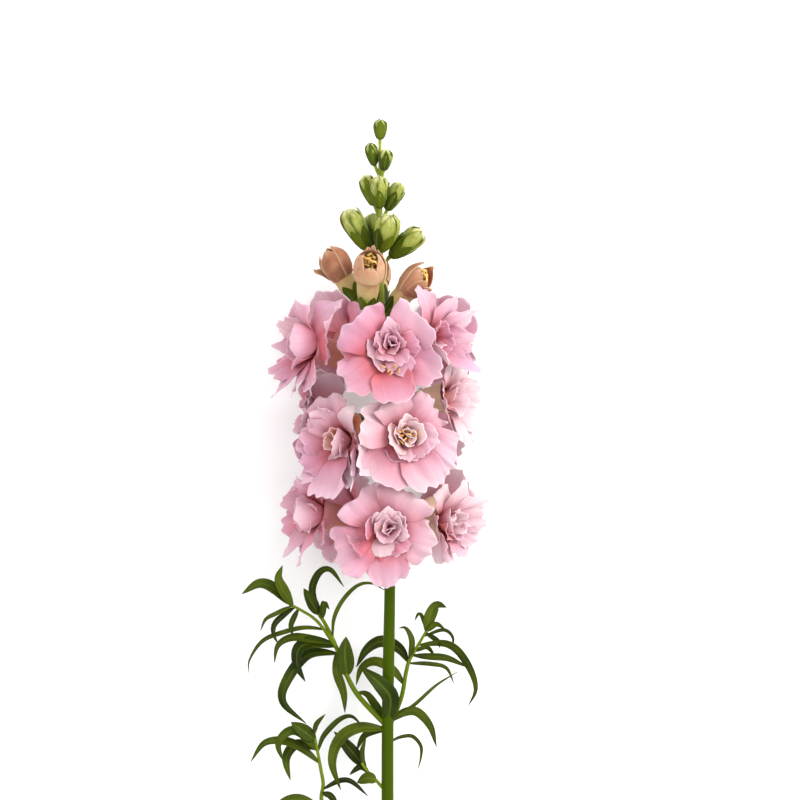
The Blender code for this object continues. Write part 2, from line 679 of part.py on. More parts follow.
def profile_radius(profile, length, radius):
    """Radius along a bud, as a function of the distance from its seat."""
    heights, radii = np.array(profile[1:4]).T
    return lambda along: np.interp(along / length, heights, radii) * radius


def peach_bud(name, root_y, seat, end, radius):
    """A half-open bud: a tube that swells into a folded head, with lips round an open mouth."""
    seat, axis, length = bud_axis(seat, end)
    place, (first, second) = along_axis(seat, axis)
    rings = [(height * length, share * radius) for height, share in PEACH_PROFILE]
    pieces = [lathe(name, rings, place, 2 * SEPAL_COUNT, PEACH_FOLD)]
    basis = np.stack([first, second, axis])
    for index, petal in enumerate(PEACH_LIPS):

        def shape(u, v, petal=petal, index=index):
            local = petal_points(u, v, petal, LIP_ROOT_RADIUS * radius, index)
            return seat + axis * LIP_ROOT * length + local @ basis

        pieces.append(blade("petal", shape, 2, 2, PETAL_THICKNESS))
    fuse(name, pieces, "peach", frame_matrix(seat, first, second, axis))
    return calyx(stem_at(root_y), seat, axis, profile_radius(PEACH_PROFILE, length, radius), PEACH_SEPALS)


def green_bud(name, root_y, seat, end, radius, has_calyx):
    """A closed bud with five raised folds. It returns what carries it on the stem."""
    seat, axis, length = bud_axis(seat, end)
    place, (first, second) = along_axis(seat, axis)
    rings = [(height * length, share * radius) for height, share in GREEN_PROFILE]
    body = lathe(name, rings, place, 2 * SEPAL_COUNT, GREEN_FOLD)
    fuse(name, [body], "bud", frame_matrix(seat, first, second, axis))
    root = stem_at(root_y)
    if has_calyx:
        radius_at = profile_radius(GREEN_PROFILE, length, radius * (1 + GREEN_FOLD))
        return calyx(root, seat, axis, radius_at, GREEN_SEPALS, GREEN_PEDICEL_RADIUS)
    if name == "bud_green_tip":
        return []
    end = seat - axis * 2 * SEAT_GAP
    return [rod("pedicel", [root, end], (GREEN_PEDICEL_RADIUS, GREEN_PEDICEL_RADIUS), 4)]


# Leaves and shoots


def leaf_blade(parent, width, roll, rise, end, points):
    """A lance-shaped leaf along its points, rooted on the nearest point of the line it grows from."""
    parent = np.asarray(parent)
    gaps = np.linalg.norm(parent[:, :2] - np.array(points[0]), axis=1)
    root = parent[gaps.argmin(), :3]
    plan = smooth_line((tuple(root[:2]), *points[1:]), 25)
    steps = np.linalg.norm(np.diff(plan, axis=0), axis=1)
    stations = np.append(0.0, np.cumsum(steps)) / steps.sum()
    heights = root[2] + 4 * rise * stations * (1 - stations) + end * stations
    line = np.column_stack([plan, heights])
    tangents = np.gradient(line, stations, axis=0)
    tilt = math.radians(roll)

    def shape(u, v):
        centre = np.stack([np.interp(u, stations, line[:, k]) for k in range(3)], axis=-1)
        tangent = np.stack([np.interp(u, stations, tangents[:, k]) for k in range(3)], axis=-1)
        flat = np.cross([0.0, 0.0, 1.0], tangent)
        flat = flat / np.linalg.norm(flat, axis=-1, keepdims=True)
        raised = np.cross(tangent, flat)
        raised = raised / np.linalg.norm(raised, axis=-1, keepdims=True)
        side = math.cos(tilt) * flat + math.sin(tilt) * raised
        half = np.maximum(width / 2 * np.sin(math.pi * u**LEAF_SHAPE) ** LEAF_SHAPE, LEAF_NARROW)
        return centre + (v * half)[:, None] * side

    turns = np.sum(tangents[1:] * tangents[:-1], axis=1)
    turns = turns / (np.linalg.norm(tangents[1:], axis=1) * np.linalg.norm(tangents[:-1], axis=1))
    turned = np.degrees(np.arccos(np.minimum(turns, 1.0)).sum())
    segments = max(3, round(steps.sum() / LEAF_SEGMENT + turned / LEAF_TURN))
    return blade("leaf", shape, 1, segments, LEAF_THICKNESS)


def shoot_pieces(route, radii, leaves):
    """The pieces of one leafy shoot: its stem and its leaves."""
    pieces = [rod("shoot", route, np.linspace(radii[0], radii[1], len(route)))]
    line = smooth_line(route, 12 * len(route))
    return pieces + [leaf_blade(line, *leaf) for leaf in leaves]


def main_stem(green_pieces):
    """The stem with its leaves and with what carries the blooms and buds."""
    line = smooth_line(STEM_ROUTE, 2 * len(STEM_ROUTE) - 1)
    pieces = [rod("stem", line[:, :3], line[:, 3], STEM_SIDES)]
    pieces += [leaf_blade(STEM_LINE, *leaf) for leaf in STEM_LEAVES]
    fuse("stem", pieces + green_pieces, "green", rests=True)


def centre_on_origin():
    """Hangs every piece on an empty, placed so that the origin is under the middle of the part."""
    bpy.context.view_layer.update()
    corners = np.array([o.matrix_world @ v.co for o in SNAPDRAGON.objects for v in o.data.vertices])
    middle = (corners.min(axis=0) + corners.max(axis=0)) / 2
    holder = bpy.data.objects.new("snapdragon", None)
    bpy.context.scene.collection.objects.link(holder)
    for obj in SNAPDRAGON.objects:
        obj.parent = holder
    holder.location = (-middle[0], -middle[1], 0.0)


def build():
    """Builds every sub-part."""
    blooms = [Bloom(*facts) for facts in BLOOMS.values()]
    carriers = []
    for seed, (name, bloom) in enumerate(zip(BLOOMS, blooms)):
        bloom_body(name, bloom, blooms, seed)
        carriers += calyx(bloom.root, bloom.seat, bloom.tube_axis, tube_radius)
    for name, facts in PEACH_BUDS.items():
        carriers += peach_bud(name, *facts)
    for name, facts in GREEN_BUDS.items():
        carriers += green_bud(name, *facts)
    main_stem(carriers)
    fuse("shoot_left", shoot_pieces(*SHOOT_LEFT) + shoot_pieces(*SHOOT_LEFT_FORK), "green")
    fuse("shoot_right", shoot_pieces(*SHOOT_RIGHT), "green")
    fuse("shoot_lower_left", shoot_pieces(*SHOOT_LOWER_LEFT), "green")
    fuse("shoot_small", shoot_pieces(*SHOOT_SMALL), "green")
    centre_on_origin()


for leftover in list(bpy.data.objects):
    bpy.data.objects.remove(leftover)
SNAPDRAGON = bpy.data.collections.new("Snapdragon")
bpy.context.scene.collection.children.link(SNAPDRAGON)
build()
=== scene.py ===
"""The looks of a cut stem of double-flowered snapdragon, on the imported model.

Shapes are worked out in millimetres in the part's own plan: y runs up the stem from its cut end, x to the
right of the photograph, z towards the camera, and the surface is z = 0. Each piece replaces one node of the
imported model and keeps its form, with thinner petals and leaves and with what is too fine for the solids.
"""

import math
import random
from dataclasses import dataclass, replace

import bpy
import numpy as np
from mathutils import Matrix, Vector


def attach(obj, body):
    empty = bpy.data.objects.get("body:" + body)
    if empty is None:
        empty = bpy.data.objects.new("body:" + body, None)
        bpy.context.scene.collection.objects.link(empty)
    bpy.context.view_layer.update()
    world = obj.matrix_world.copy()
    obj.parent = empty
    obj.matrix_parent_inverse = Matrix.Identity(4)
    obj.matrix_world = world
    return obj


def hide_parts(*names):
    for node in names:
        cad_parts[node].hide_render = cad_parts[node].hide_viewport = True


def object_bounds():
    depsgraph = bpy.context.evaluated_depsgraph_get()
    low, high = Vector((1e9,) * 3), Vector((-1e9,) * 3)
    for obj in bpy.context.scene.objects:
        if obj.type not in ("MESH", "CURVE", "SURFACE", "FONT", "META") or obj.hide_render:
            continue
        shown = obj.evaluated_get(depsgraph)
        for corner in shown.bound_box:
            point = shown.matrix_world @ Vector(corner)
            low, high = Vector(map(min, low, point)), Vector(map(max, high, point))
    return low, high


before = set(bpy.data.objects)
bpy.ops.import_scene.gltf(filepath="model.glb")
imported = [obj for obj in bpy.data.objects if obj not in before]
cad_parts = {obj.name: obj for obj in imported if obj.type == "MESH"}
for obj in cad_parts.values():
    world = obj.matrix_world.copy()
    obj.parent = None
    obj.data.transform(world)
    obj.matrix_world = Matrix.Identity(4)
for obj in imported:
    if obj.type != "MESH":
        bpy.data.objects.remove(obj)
CAD_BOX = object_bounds()

MM = 0.001
TURN = 2 * math.pi

# Where the part's plan lies in the frame: its leftmost leaf tip and the tip of its last bud
LEFTMOST = -66.3
LENGTH = 400.0
SHIFT = np.array([CAD_BOX[0].x / MM - LEFTMOST, CAD_BOX[1].y / MM - LENGTH, 0.0])

# Camera: straight above, as far away as the width it takes in asks for
VIEW_CENTRE = (5.4, 274.0)
VIEW_WIDTH = 360.0
FOCUS_HEIGHT = 40.0
CAMERA_DISTANCE = 2500.0
SENSOR = 36.0
CLIP_END = 50.0

# Light: strength of the white surroundings, one large soft lamp at the upper right, and the floor, in metres
WORLD_LIGHT = 1.45
KEY_PLACE = (1.2, 0.8, 1.2)
KEY_TARGET = (0.0, 0.05, 0.03)
KEY_SIZE = 1.0
KEY_POWER = 28.0
FLOOR_SIZE = 30.0

# Materials: how far light spreads under most skins, in metres
WHITE = (1.0, 1.0, 1.0)
SUBSURFACE_DEPTH = 0.0015

# The least lengths and curvatures that anything is divided by
LEAST_LENGTH = 1e-9
LEAST_CUP = 1e-4

# Stem: x, y, z and radius of its centreline, from the cut end to the tip
STEM_ROUTE = (
    (0.0, 0.0, 2.7, 2.9),
    (-0.2, 60.0, 11.8, 2.85),
    (-0.2, 128.0, 21.4, 2.7),
    (0.8, 190.0, 29.6, 2.45),
    (0.3, 213.0, 32.0, 2.1),
    (-0.6, 257.0, 35.2, 1.8),
    (-2.4, 300.0, 36.8, 1.6),
    (-3.3, 330.0, 38.2, 1.35),
    (-3.5, 362.0, 39.2, 1.0),
    (-3.6, 390.6, 40.0, 0.75),
)

# Flowers and buds are built on five: folds or sepals, and the turn from one to the next in degrees
LOBES = 5
LOBE_TURN = 72

# Where a bloom stands on the stem, and its tube
MOUTH_RISE = 7.0
FACE_DEPTH = 8.0
PEDICEL_LENGTH = 7.5
PEDICEL_RADIUS = 1.1
TUBE_BASE_RADIUS = 2.7
TUBE_RADIUS = 6.0
TUBE_SWELL_LENGTH = 14.0
TUBE_OVERHANG = 1.0
TUBE_FLARE = 0.9
TUBE_WALL = 0.5
TUBE_ROWS = 14
TUBE_COLUMNS = 41

# Petals: roots, thickness, and the grids of large and small ones, finer on blooms that the photograph shows
PETAL_ROOT_DEPTH = 1.0
PETAL_ROOT_THICKNESS = 0.40
PETAL_THINNING = 0.27
LARGE_PETAL = 110.0
OWN_GRIDS = ((25, 39), (19, 27))
USUAL_GRIDS = ((21, 31), (16, 22))

# Petals: outline, middle line, and how much the usual ones differ
RIM_LOBES = ((0.034, 4.4), (0.020, 7.9), (0.016, 13.1))
RIM_SHAPE = 2.6
ROOT_WIDTH = 0.20
WIDENING = 1.15
LINE_END = 1.3
LINE_POINTS = 53
BEND_SPREAD = 9.0
ANGLE_SPREAD = 7.0

# Petals: waves, and how the throat's colour, the light rim and the paler inner petals are laid out; the
# throat's dark red is partly painted shade, the light rim partly a painted highlight, and the paler inner
# petals are painted light in the bloom's shaded hollow
PETAL_DRAWS = 12
FRILL = 0.85
FRILL_FROM = 12.0
PLEAT = 0.25
THROAT_SCALE = 22.0
EDGE_WIDTH = 0.4
INNER_ROOT = 2.7
INNER_PAINTED_LIGHT = 0.6

# How blooms keep clear of one another and of the surface
NEIGHBOUR_RANGE = 62.0
NEIGHBOUR_MARGIN = 0.45
NEIGHBOUR_REACH = 4.5
ROW_STEP = 25.0
ROW_OVERLAP = 0.9
SIDE_OVERLAP = 0.4
SURFACE_MARGIN = 0.6
RESTING_MARGIN = 0.25
SURFACE_REACH = 3.0
PRESS_BEND = 0.7

# Each bloom: azimuth round the stem (0 faces up), y of its face, reach of its tube, size, roll, nod towards
# the tip, how pale it is, partly its own tone and on the back blooms painted light against their shade
BLOOMS = {
    "top_front": (3, 294.5, 28, 1.12, 0, 2, -0.4),
    "top_left": (-66, 297, 34, 1.0, 0, 2, -0.3),
    "top_right": (49, 301, 27, 0.9, 0, 6, 0.0),
    "top_back_left": (-147, 301, 30, 1.0, 12, 4, 0.0),
    "top_back_right": (134, 300, 31, 0.96, 8, 4, 0.0),
    "middle_front": (16, 258, 28, 1.12, 10, 0, 0.3),
    "middle_left": (-42, 256, 29, 1.02, 0, -3, 0.0),
    "middle_right": (68, 275, 29, 0.9, 0, 2, 0.8),
    "middle_back_left": (-112, 266, 30, 1.0, 4, 4, 0.1),
    "middle_back_right": (146, 259, 28, 0.9, -10, 0, 0.7),
    "bottom_front": (-3, 215, 28, 1.1, 0, -3, 0.0),
    "bottom_left": (-66, 223, 33.5, 0.95, 0, 0, 0.0),
    "bottom_right": (54, 219, 30, 0.92, 0, 2, 0.6),
    "bottom_back_left": (-147, 221, 28, 0.95, 6, 0, 0.2),
    "bottom_back_right": (133, 223, 28, 0.92, 6, 0, 1.0),
}


@dataclass
class Petal:
    """One petal of a bloom, seen in the bloom's face."""

    angle: float  # direction in the face, 0 to its right and 90 towards the tip of the stem
    length: float
    half: float  # half of its greatest width
    bends: tuple  # angles off the bloom's axis, evenly spaced from root to rim
    cup: tuple = (-0.01, -0.01)  # curvature across, at root and rim
    ruffle: float = 0.8
    root: float = 4.4  # radius of its root on the mouth
    rounding: float = 0.24  # how much shorter its sides are than its middle
    point: float = 0.0  # draws the middle of the rim out, or notches it
    sweep: float = 0.0  # degrees by which it turns aside on its way to the rim
    twist: float = 0.10
    # deep: the throat's own deep pink, and on petals that lie in shade also painted shade
    deep: float = 0.0  # how much farther out the deep pink of the throat runs
    pale: float = 0.0
    warm: float = 0.0  # how creamy orange it is inside
    at: tuple = (0.0, 0.0)  # how far its root circle is moved in the face


USUAL_PETALS = (
    Petal(52, 23.0, 11.5, (28, 70, 100), ruffle=1.0),
    Petal(128, 23.5, 12.0, (28, 68, 98), ruffle=1.0),
    Petal(203, 22.0, 11.0, (30, 74, 106), ruffle=1.2),
    Petal(270, 22.5, 10.5, (34, 72, 102), (0.02, 0.02), ruffle=1.0),
    Petal(338, 22.0, 11.0, (30, 70, 104), ruffle=1.2),
    Petal(95, 15.0, 7.0, (12, 36, 62), (0.08, 0.08), 1.0, 2.8),
    Petal(212, 14.0, 7.5, (16, 50, 76), (0.06, 0.06), 1.2, 2.8),
    Petal(332, 14.5, 7.0, (14, 46, 70), (0.07, 0.07), 1.2, 2.8),
    Petal(20, 14.0, 5.4, (10, 30, 66), (0.16, 0.04), 1.3, 2.6),
    Petal(152, 13.0, 5.6, (8, 36, 74), (0.14, 0.05), 1.3, 2.8),
    Petal(268, 12.5, 5.2, (12, 40, 84), (0.12, 0.04), 1.2, 2.8),
    Petal(60, 12.0, 4.6, (4, 14, 24), (0.22, 0.10), 1.0, 1.2),
    Petal(180, 11.0, 4.2, (2, 16, 38), (0.24, 0.10), 1.0, 1.2),
    Petal(300, 10.5, 4.4, (2, 20, 46), (0.22, 0.08), 1.1, 1.2),
    Petal(240, 10.0, 3.6, (0, 6, 18), (0.30, 0.16), 0.8, 0.6),
)
# Petals placed one by one for the blooms that the photograph shows
OWN_PETALS = {
    "top_front": (
        Petal(134, 17.6, 12.0, (14, 62, 86, 94), (-0.01, -0.02), 1.0, rounding=0.20, deep=0.10),
        Petal(44, 18.0, 11.6, (30, 70, 84, 88), (0.01, 0.0), 0.9, rounding=0.08, sweep=4, pale=0.6),
        Petal(217, 18.4, 9.3, (24, 74, 90, 100), (-0.01, -0.02), 1.0, rounding=0.2, deep=0.08),
        Petal(280, 20.2, 9.2, (22, 66, 90, 84), (0.03, 0.05), 1.1, rounding=0.34, deep=0.14),
        Petal(342, 20.6, 9.0, (34, 78, 92, 98), (-0.01, -0.02), 1.4, rounding=0.22, pale=0.4),
        Petal(170, 14.5, 7.5, (30, 84, 96, 96), (0.0, 0.0), 0.7, rounding=0.3, deep=0.4),
        Petal(326, 13.0, 5.2, (6, 34, 88, 128), (0.06, -0.03), 0.5, 3.4, rounding=0.32, deep=-0.05,
              pale=0.3),
        Petal(205, 8.4, 7.4, (0, 26, 60, 74), (0.0, 0.0), 0.9, 2.5, rounding=0.2, pale=0.4, at=(0.5, 1.5),
              deep=-0.05),
        Petal(94, 10.5, 4.0, (8, 36, 62, 66), (0.08, 0.14), 0.8, 1.5, point=0.2, pale=0.6, at=(1.6, 4.2)),
        Petal(136, 9.5, 5.0, (4, 26, 56, 60), (0.08, 0.05), 0.8, 1.5, pale=0.4, at=(1.4, 3.6), deep=0.05),
        Petal(12, 11.5, 5.6, (14, 44, 78, 90), (0.05, 0.02), 1.0, 3.0, deep=0.12, at=(1.0, 2.0)),
        Petal(300, 11.0, 5.4, (4, 26, 60, 70), (0.08, 0.05), 0.9, 1.5, pale=0.2, at=(1.8, 1.8), deep=0.05),
        Petal(255, 9.0, 5.0, (4, 26, 52, 60), (0.12, 0.07), 0.8, 1.5, pale=0.2, at=(1.2, 3.0), deep=0.08),
        Petal(180, 8.5, 4.2, (2, 20, 40, 50), (0.18, 0.10), 0.8, 1.2, deep=0.12, at=(1.0, 3.4), pale=0.2),
        Petal(36, 8.5, 4.4, (2, 18, 40, 52), (0.16, 0.10), 0.8, 1.2, pale=0.2, at=(2.0, 4.0), deep=0.10),
        Petal(300, 7.6, 3.4, (0, 12, 34, 54), (0.22, 0.16), 0.6, 1.0, pale=0.3, at=(1.8, 4.0), deep=0.08),
        Petal(150, 7.6, 3.2, (0, 10, 30, 46), (0.24, 0.18), 0.6, 0.9, pale=0.3, at=(1.8, 4.2), deep=0.06),
        Petal(60, 7.8, 2.8, (-4, 4, 22, 40), (0.28, 0.22), 0.5, 0.7, pale=0.4, at=(1.8, 4.2), deep=0.04),
        Petal(230, 8.0, 2.4, (-6, -6, 4, 22), (0.34, 0.30), 0.4, 0.5, pale=0.4, at=(1.8, 4.2), deep=0.02),
        Petal(20, 8.2, 1.8, (-8, -10, -4, 8), (0.42, 0.40), 0.3, 0.4, pale=0.5, at=(1.8, 4.2)),
    ),
    "middle_front": (
        Petal(150, 18.0, 10.6, (26, 68, 80, 84), ruffle=1.5, rounding=0.2, pale=0.7),
        Petal(100, 15.0, 9.5, (22, 56, 72, 76), ruffle=0.9, pale=0.6),
        Petal(36, 15.0, 9.5, (24, 70, 92, 122), ruffle=1.5, rounding=0.05, pale=0.1),
        Petal(335, 20.5, 8.8, (30, 74, 94, 104), ruffle=1.7, rounding=0.12, sweep=-8, pale=0.3),
        Petal(284, 22.5, 9.0, (24, 62, 88, 98), (0.02, 0.0), 1.2, rounding=0.25, pale=0.1),
        Petal(203, 23.0, 9.0, (48, 104, 120, 128), ruffle=1.0, pale=0.4),
        Petal(226, 20.0, 11.5, (32, 84, 100, 100), (-0.01, -0.01), 1.2, rounding=0.2, deep=0.10),
        Petal(185, 10.5, 6.8, (4, 30, 50, 54), (0.12, 0.09), 0.9, 2.5, warm=0.5, pale=0.6, deep=-0.05),
        Petal(20, 11.0, 5.8, (2, 20, 36, 44), (0.14, 0.09), 1.0, 1.8, warm=0.3, pale=0.8),
        Petal(210, 9.5, 5.2, (-2, 12, 22, 30), (0.18, 0.14), 0.8, 1.4, warm=0.4, pale=0.9),
        Petal(85, 11.5, 5.0, (6, 26, 44, 52), (0.16, 0.14), 0.9, 2.0, pale=0.9, warm=0.15),
        Petal(252, 10.5, 4.8, (8, 34, 56, 64), (0.14, 0.08), 0.9, 3.0, pale=0.5),
        Petal(345, 13.0, 6.2, (10, 40, 64, 74), (0.10, 0.05), 1.2, 3.0, pale=0.4),
        Petal(302, 11.5, 5.6, (8, 34, 62, 74), (0.12, 0.06), 1.0, 3.0, deep=0.12, pale=0.2),
        Petal(228, 8.5, 4.6, (40, 66, 60, 40), (0.10, 0.10), 0.6, 4.2, deep=0.2),
        Petal(140, 9.5, 4.8, (0, 16, 34, 44), (0.18, 0.12), 0.8, 2.0, warm=0.5, pale=0.6),
        Petal(310, 8.5, 4.0, (-2, 10, 26, 40), (0.20, 0.16), 0.6, 1.0, warm=0.4, pale=0.7, deep=-0.1),
        Petal(60, 8.5, 3.4, (-4, 2, 16, 30), (0.24, 0.20), 0.5, 0.8, warm=0.3, pale=0.9, deep=-0.1,
              at=(0.8, 0.6)),
        Petal(240, 8.0, 3.0, (-6, -4, 8, 20), (0.28, 0.24), 0.4, 0.6, warm=0.3, pale=0.7, deep=-0.05,
              at=(0.6, 0.4)),
        Petal(150, 8.4, 2.0, (-8, -10, -2, 8), (0.40, 0.36), 0.3, 0.4, warm=0.2, pale=0.9, at=(0.8, 0.6)),
    ),
    "bottom_front": (
        Petal(122, 17.0, 12.3, (24, 64, 82, 86), ruffle=1.4, rounding=0.12, pale=0.5),
        Petal(58, 18.5, 12.0, (24, 66, 84, 90), ruffle=1.3, rounding=0.15, pale=0.7),
        Petal(207, 19.8, 10.8, (26, 72, 92, 100), ruffle=1.6, rounding=0.18),
        Petal(273, 19.5, 9.4, (30, 80, 104, 112), ruffle=0.9, rounding=0.3, pale=0.4),
        Petal(345, 17.8, 9.0, (26, 68, 88, 96), ruffle=1.6, rounding=0.2, pale=0.5),
        Petal(128, 10.5, 7.5, (4, 28, 44, 38), (0.12, 0.12), 0.9, 3.0, deep=0.14),
        Petal(190, 13.0, 7.5, (24, 66, 90, 66), (0.02, 0.05), 1.8, 3.4, rounding=0.1, deep=0.22),
        Petal(232, 13.0, 6.5, (24, 66, 92, 112), (0.04, 0.0), 1.6, 3.4, deep=0.26),
        Petal(272, 10.5, 6.4, (10, 44, 84, 104), (0.06, 0.0), 0.4, 1.5, rounding=0.02, pale=0.9),
        Petal(62, 12.5, 6.0, (6, 28, 60, 84), (0.08, 0.04), 1.5, 2.6, pale=0.6),
        Petal(12, 11.0, 5.0, (8, 34, 60, 78), (0.10, 0.04), 1.4, 2.6, pale=0.4),
        Petal(96, 12.0, 4.5, (4, 24, 54, 70), (0.14, 0.08), 1.2, 2.6, pale=0.5),
        Petal(322, 11.0, 5.0, (10, 44, 70, 84), (0.08, 0.02), 1.2, 3.2, deep=0.15),
        Petal(40, 9.5, 4.8, (0, 20, 40, 52), (0.16, 0.10), 1.0, 1.5, pale=0.3, at=(2.0, 2.0)),
        Petal(150, 9.0, 4.8, (0, 18, 40, 50), (0.16, 0.10), 0.9, 1.6, deep=0.08, at=(1.6, 2.0), pale=0.2),
        Petal(225, 8.5, 4.4, (2, 22, 46, 56), (0.14, 0.08), 0.8, 1.4, deep=0.08, at=(1.6, 1.6), pale=0.3),
        Petal(300, 8.5, 4.4, (0, 16, 38, 52), (0.18, 0.12), 0.8, 1.2, pale=0.3, at=(2.2, 1.8), deep=0.05),
        Petal(80, 8.0, 3.4, (-2, 8, 28, 42), (0.22, 0.16), 0.6, 0.9, pale=0.4, at=(2.2, 2.2), deep=0.05),
        Petal(190, 8.0, 3.2, (-2, 6, 22, 36), (0.24, 0.18), 0.6, 0.8, pale=0.3, at=(2.0, 2.2), deep=0.05),
        Petal(320, 8.0, 2.8, (-4, -2, 12, 26), (0.28, 0.22), 0.5, 0.6, pale=0.4, at=(2.2, 2.0), deep=0.02),
        Petal(110, 8.4, 2.0, (-8, -10, -2, 8), (0.40, 0.36), 0.3, 0.4, pale=0.4, at=(2.2, 2.2)),
        Petal(215, 6.5, 1.6, (10, 40, 80, 120), (0.20, 0.20), 0.8, 1.0, pale=1.6, at=(-5.5, -3.0),
              deep=-0.4),
    ),
    "top_left": (
        Petal(62, 22.0, 12.0, (58, 108, 134, 142), ruffle=1.0, rounding=0.2, deep=-0.08, pale=0.1),
        Petal(6, 17.0, 9.5, (56, 108, 134, 144), ruffle=1.0, rounding=0.2, deep=0.12),
        Petal(104, 20.0, 8.0, (26, 60, 76, 80), ruffle=1.1, pale=0.2),
        Petal(138, 18.5, 8.0, (16, 44, 62, 46), (0.02, 0.04), 1.4, pale=0.9),
        Petal(176, 15.0, 4.4, (16, 40, 46, 40), (0.04, 0.08), 1.0, point=0.3, rounding=0.4),
        Petal(6, 15.0, 9.5, (0, 14, 6, -30), (0.09, 0.11), 0.4, 4.2, rounding=0.3, deep=-0.2, at=(0.0, 3.0)),
        Petal(300, 18.0, 7.0, (30, 66, 84, 84), ruffle=1.1, deep=0.05),
        Petal(215, 20.5, 8.0, (20, 46, 58, 56), ruffle=1.4, point=0.1, deep=0.15),
        Petal(243, 20.5, 4.6, (22, 50, 60, 54), ruffle=1.1, point=0.35, rounding=0.45, deep=0.1),
        Petal(268, 18.0, 5.0, (24, 54, 68, 72), ruffle=1.2, point=0.2, rounding=0.4),
        Petal(120, 12.0, 6.0, (8, 24, 40, 44), (0.10, 0.06), 1.6, 2.8, pale=0.5),
        Petal(190, 12.0, 6.0, (4, 18, 30, 30), (0.12, 0.08), 1.6, 2.8),
        Petal(250, 12.0, 5.4, (8, 26, 40, 46), (0.12, 0.06), 1.5, 2.8, deep=0.1),
        Petal(40, 9.5, 4.4, (0, 8, 10, 4), (0.20, 0.16), 1.0, 1.8, deep=0.2),
    ),
    "middle_left": (
        Petal(104, 18.5, 10.0, (26, 64, 82, 86), ruffle=1.2, warm=0.15, pale=0.3),
        Petal(52, 17.5, 5.6, (30, 66, 86, 92), (0.03, 0.08), 0.7, point=0.2, rounding=0.4, pale=1.3,
              deep=-0.2),
        Petal(165, 16.0, 9.0, (14, 40, 54, 42), (0.03, 0.05), 1.6, deep=0.1),
        Petal(205, 18.5, 10.0, (18, 48, 64, 60), ruffle=1.5, deep=0.12),
        Petal(125, 16.0, 7.0, (14, 38, 56, 74), (0.02, -0.02), 1.8, pale=0.6),
        Petal(345, 13.0, 6.5, (0, 10, 10, -10), (0.10, 0.12), 0.5, 3.6, rounding=0.3, pale=0.5, deep=-0.1),
        Petal(24, 9.0, 7.5, (60, 104, 124, 128), ruffle=0.9, deep=0.3, warm=1.0),
        Petal(262, 11.5, 8.0, (8, 40, 80, 112), (0.02, 0.0), 1.4, 3.0, pale=0.9),
        Petal(268, 26.5, 9.5, (20, 50, 74, 80), ruffle=1.3, pale=0.2),
        Petal(234, 20.5, 8.5, (26, 64, 82, 82), ruffle=1.2, point=0.1),
        Petal(318, 22.0, 9.0, (34, 76, 96, 104), ruffle=1.5),
        Petal(342, 20.0, 10.0, (56, 104, 122, 130), ruffle=1.3, pale=0.3),
        Petal(300, 21.0, 8.0, (44, 92, 112, 120), ruffle=1.5, pale=0.3),
        Petal(296, 27.0, 3.2, (36, 74, 92, 100), (0.1, 0.3), 0.5, rounding=0.4, sweep=16, pale=0.9,
              deep=-0.3),
        Petal(110, 10.0, 5.0, (0, 12, 22, 30), (0.18, 0.12), 1.2, 2.4, warm=0.9),
        Petal(200, 10.5, 4.6, (-4, 4, 10, 12), (0.22, 0.16), 1.0, 2.2, warm=0.8, pale=0.3),
        Petal(60, 9.5, 4.4, (0, 8, 16, 22), (0.2, 0.14), 1.0, 2.0, warm=0.9),
        Petal(290, 10.0, 4.6, (4, 20, 40, 52), (0.16, 0.08), 1.3, 2.4),
    ),
    "middle_back_left": (
        Petal(80, 20.0, 10.0, (24, 60, 84, 92), ruffle=1.5, pale=0.6, deep=-0.15),
        Petal(40, 18.5, 9.0, (30, 70, 96, 104), ruffle=1.5, pale=0.5, deep=-0.15),
        Petal(118, 20.0, 7.0, (16, 44, 58, 44), (0.03, 0.06), 2.0, pale=0.5, deep=-0.1),
        Petal(0, 18.0, 9.5, (30, 74, 98, 104), ruffle=1.4, pale=0.3, deep=-0.1),
        Petal(320, 18.5, 9.0, (30, 70, 94, 100), ruffle=1.5, pale=0.2),
        Petal(150, 19.5, 8.0, (16, 44, 60, 54), ruffle=1.8, pale=0.3),
        Petal(190, 20.0, 9.0, (20, 50, 66, 66), ruffle=1.5),
        Petal(235, 20.0, 9.0, (20, 50, 66, 66), ruffle=1.5),
        Petal(280, 19.0, 9.0, (26, 60, 84, 92), ruffle=1.5),
        Petal(60, 12.5, 6.0, (6, 20, 34, 40), (0.12, 0.08), 1.6, 2.8, pale=0.3),
        Petal(180, 12.5, 6.0, (6, 20, 34, 40), (0.12, 0.08), 1.6, 2.8),
        Petal(300, 12.5, 6.0, (6, 20, 34, 40), (0.12, 0.08), 1.6, 2.8),
        Petal(86, 19.0, 4.4, (30, 75, 90, 92), ruffle=1.4, twist=-2.0, pale=0.3, deep=-0.1, at=(2.0, 0.0)),
        Petal(68, 17.0, 4.4, (60, 96, 104, 100), ruffle=1.2, twist=-2.2, pale=0.5, deep=-0.1, at=(4.0, 0.0)),
    ),
    "bottom_left": (
        Petal(8, 17.0, 9.5, (4, 16, 10, -14), (0.09, 0.12), 0.4, 4.2, rounding=0.3, deep=-0.1, pale=0.1),
        Petal(75, 18.0, 8.0, (30, 70, 96, 104), ruffle=1.2),
        Petal(120, 20.0, 9.0, (16, 44, 62, 62), ruffle=1.4),
        Petal(160, 19.0, 8.0, (14, 40, 54, 50), ruffle=1.4, deep=0.05),
        Petal(200, 19.0, 8.0, (18, 46, 60, 56), ruffle=1.3, deep=0.22),
        Petal(236, 20.0, 5.0, (22, 52, 64, 60), ruffle=1.2, point=0.3, rounding=0.4),
        Petal(258, 21.0, 7.0, (24, 56, 76, 80), ruffle=1.3, point=0.15),
        Petal(310, 13.5, 6.5, (34, 76, 100, 110), ruffle=1.1),
        Petal(140, 12.5, 6.0, (8, 22, 34, 38), (0.10, 0.06), 1.6, 2.8),
        Petal(215, 12.5, 6.0, (6, 22, 36, 40), (0.10, 0.06), 1.6, 2.8, deep=0.1),
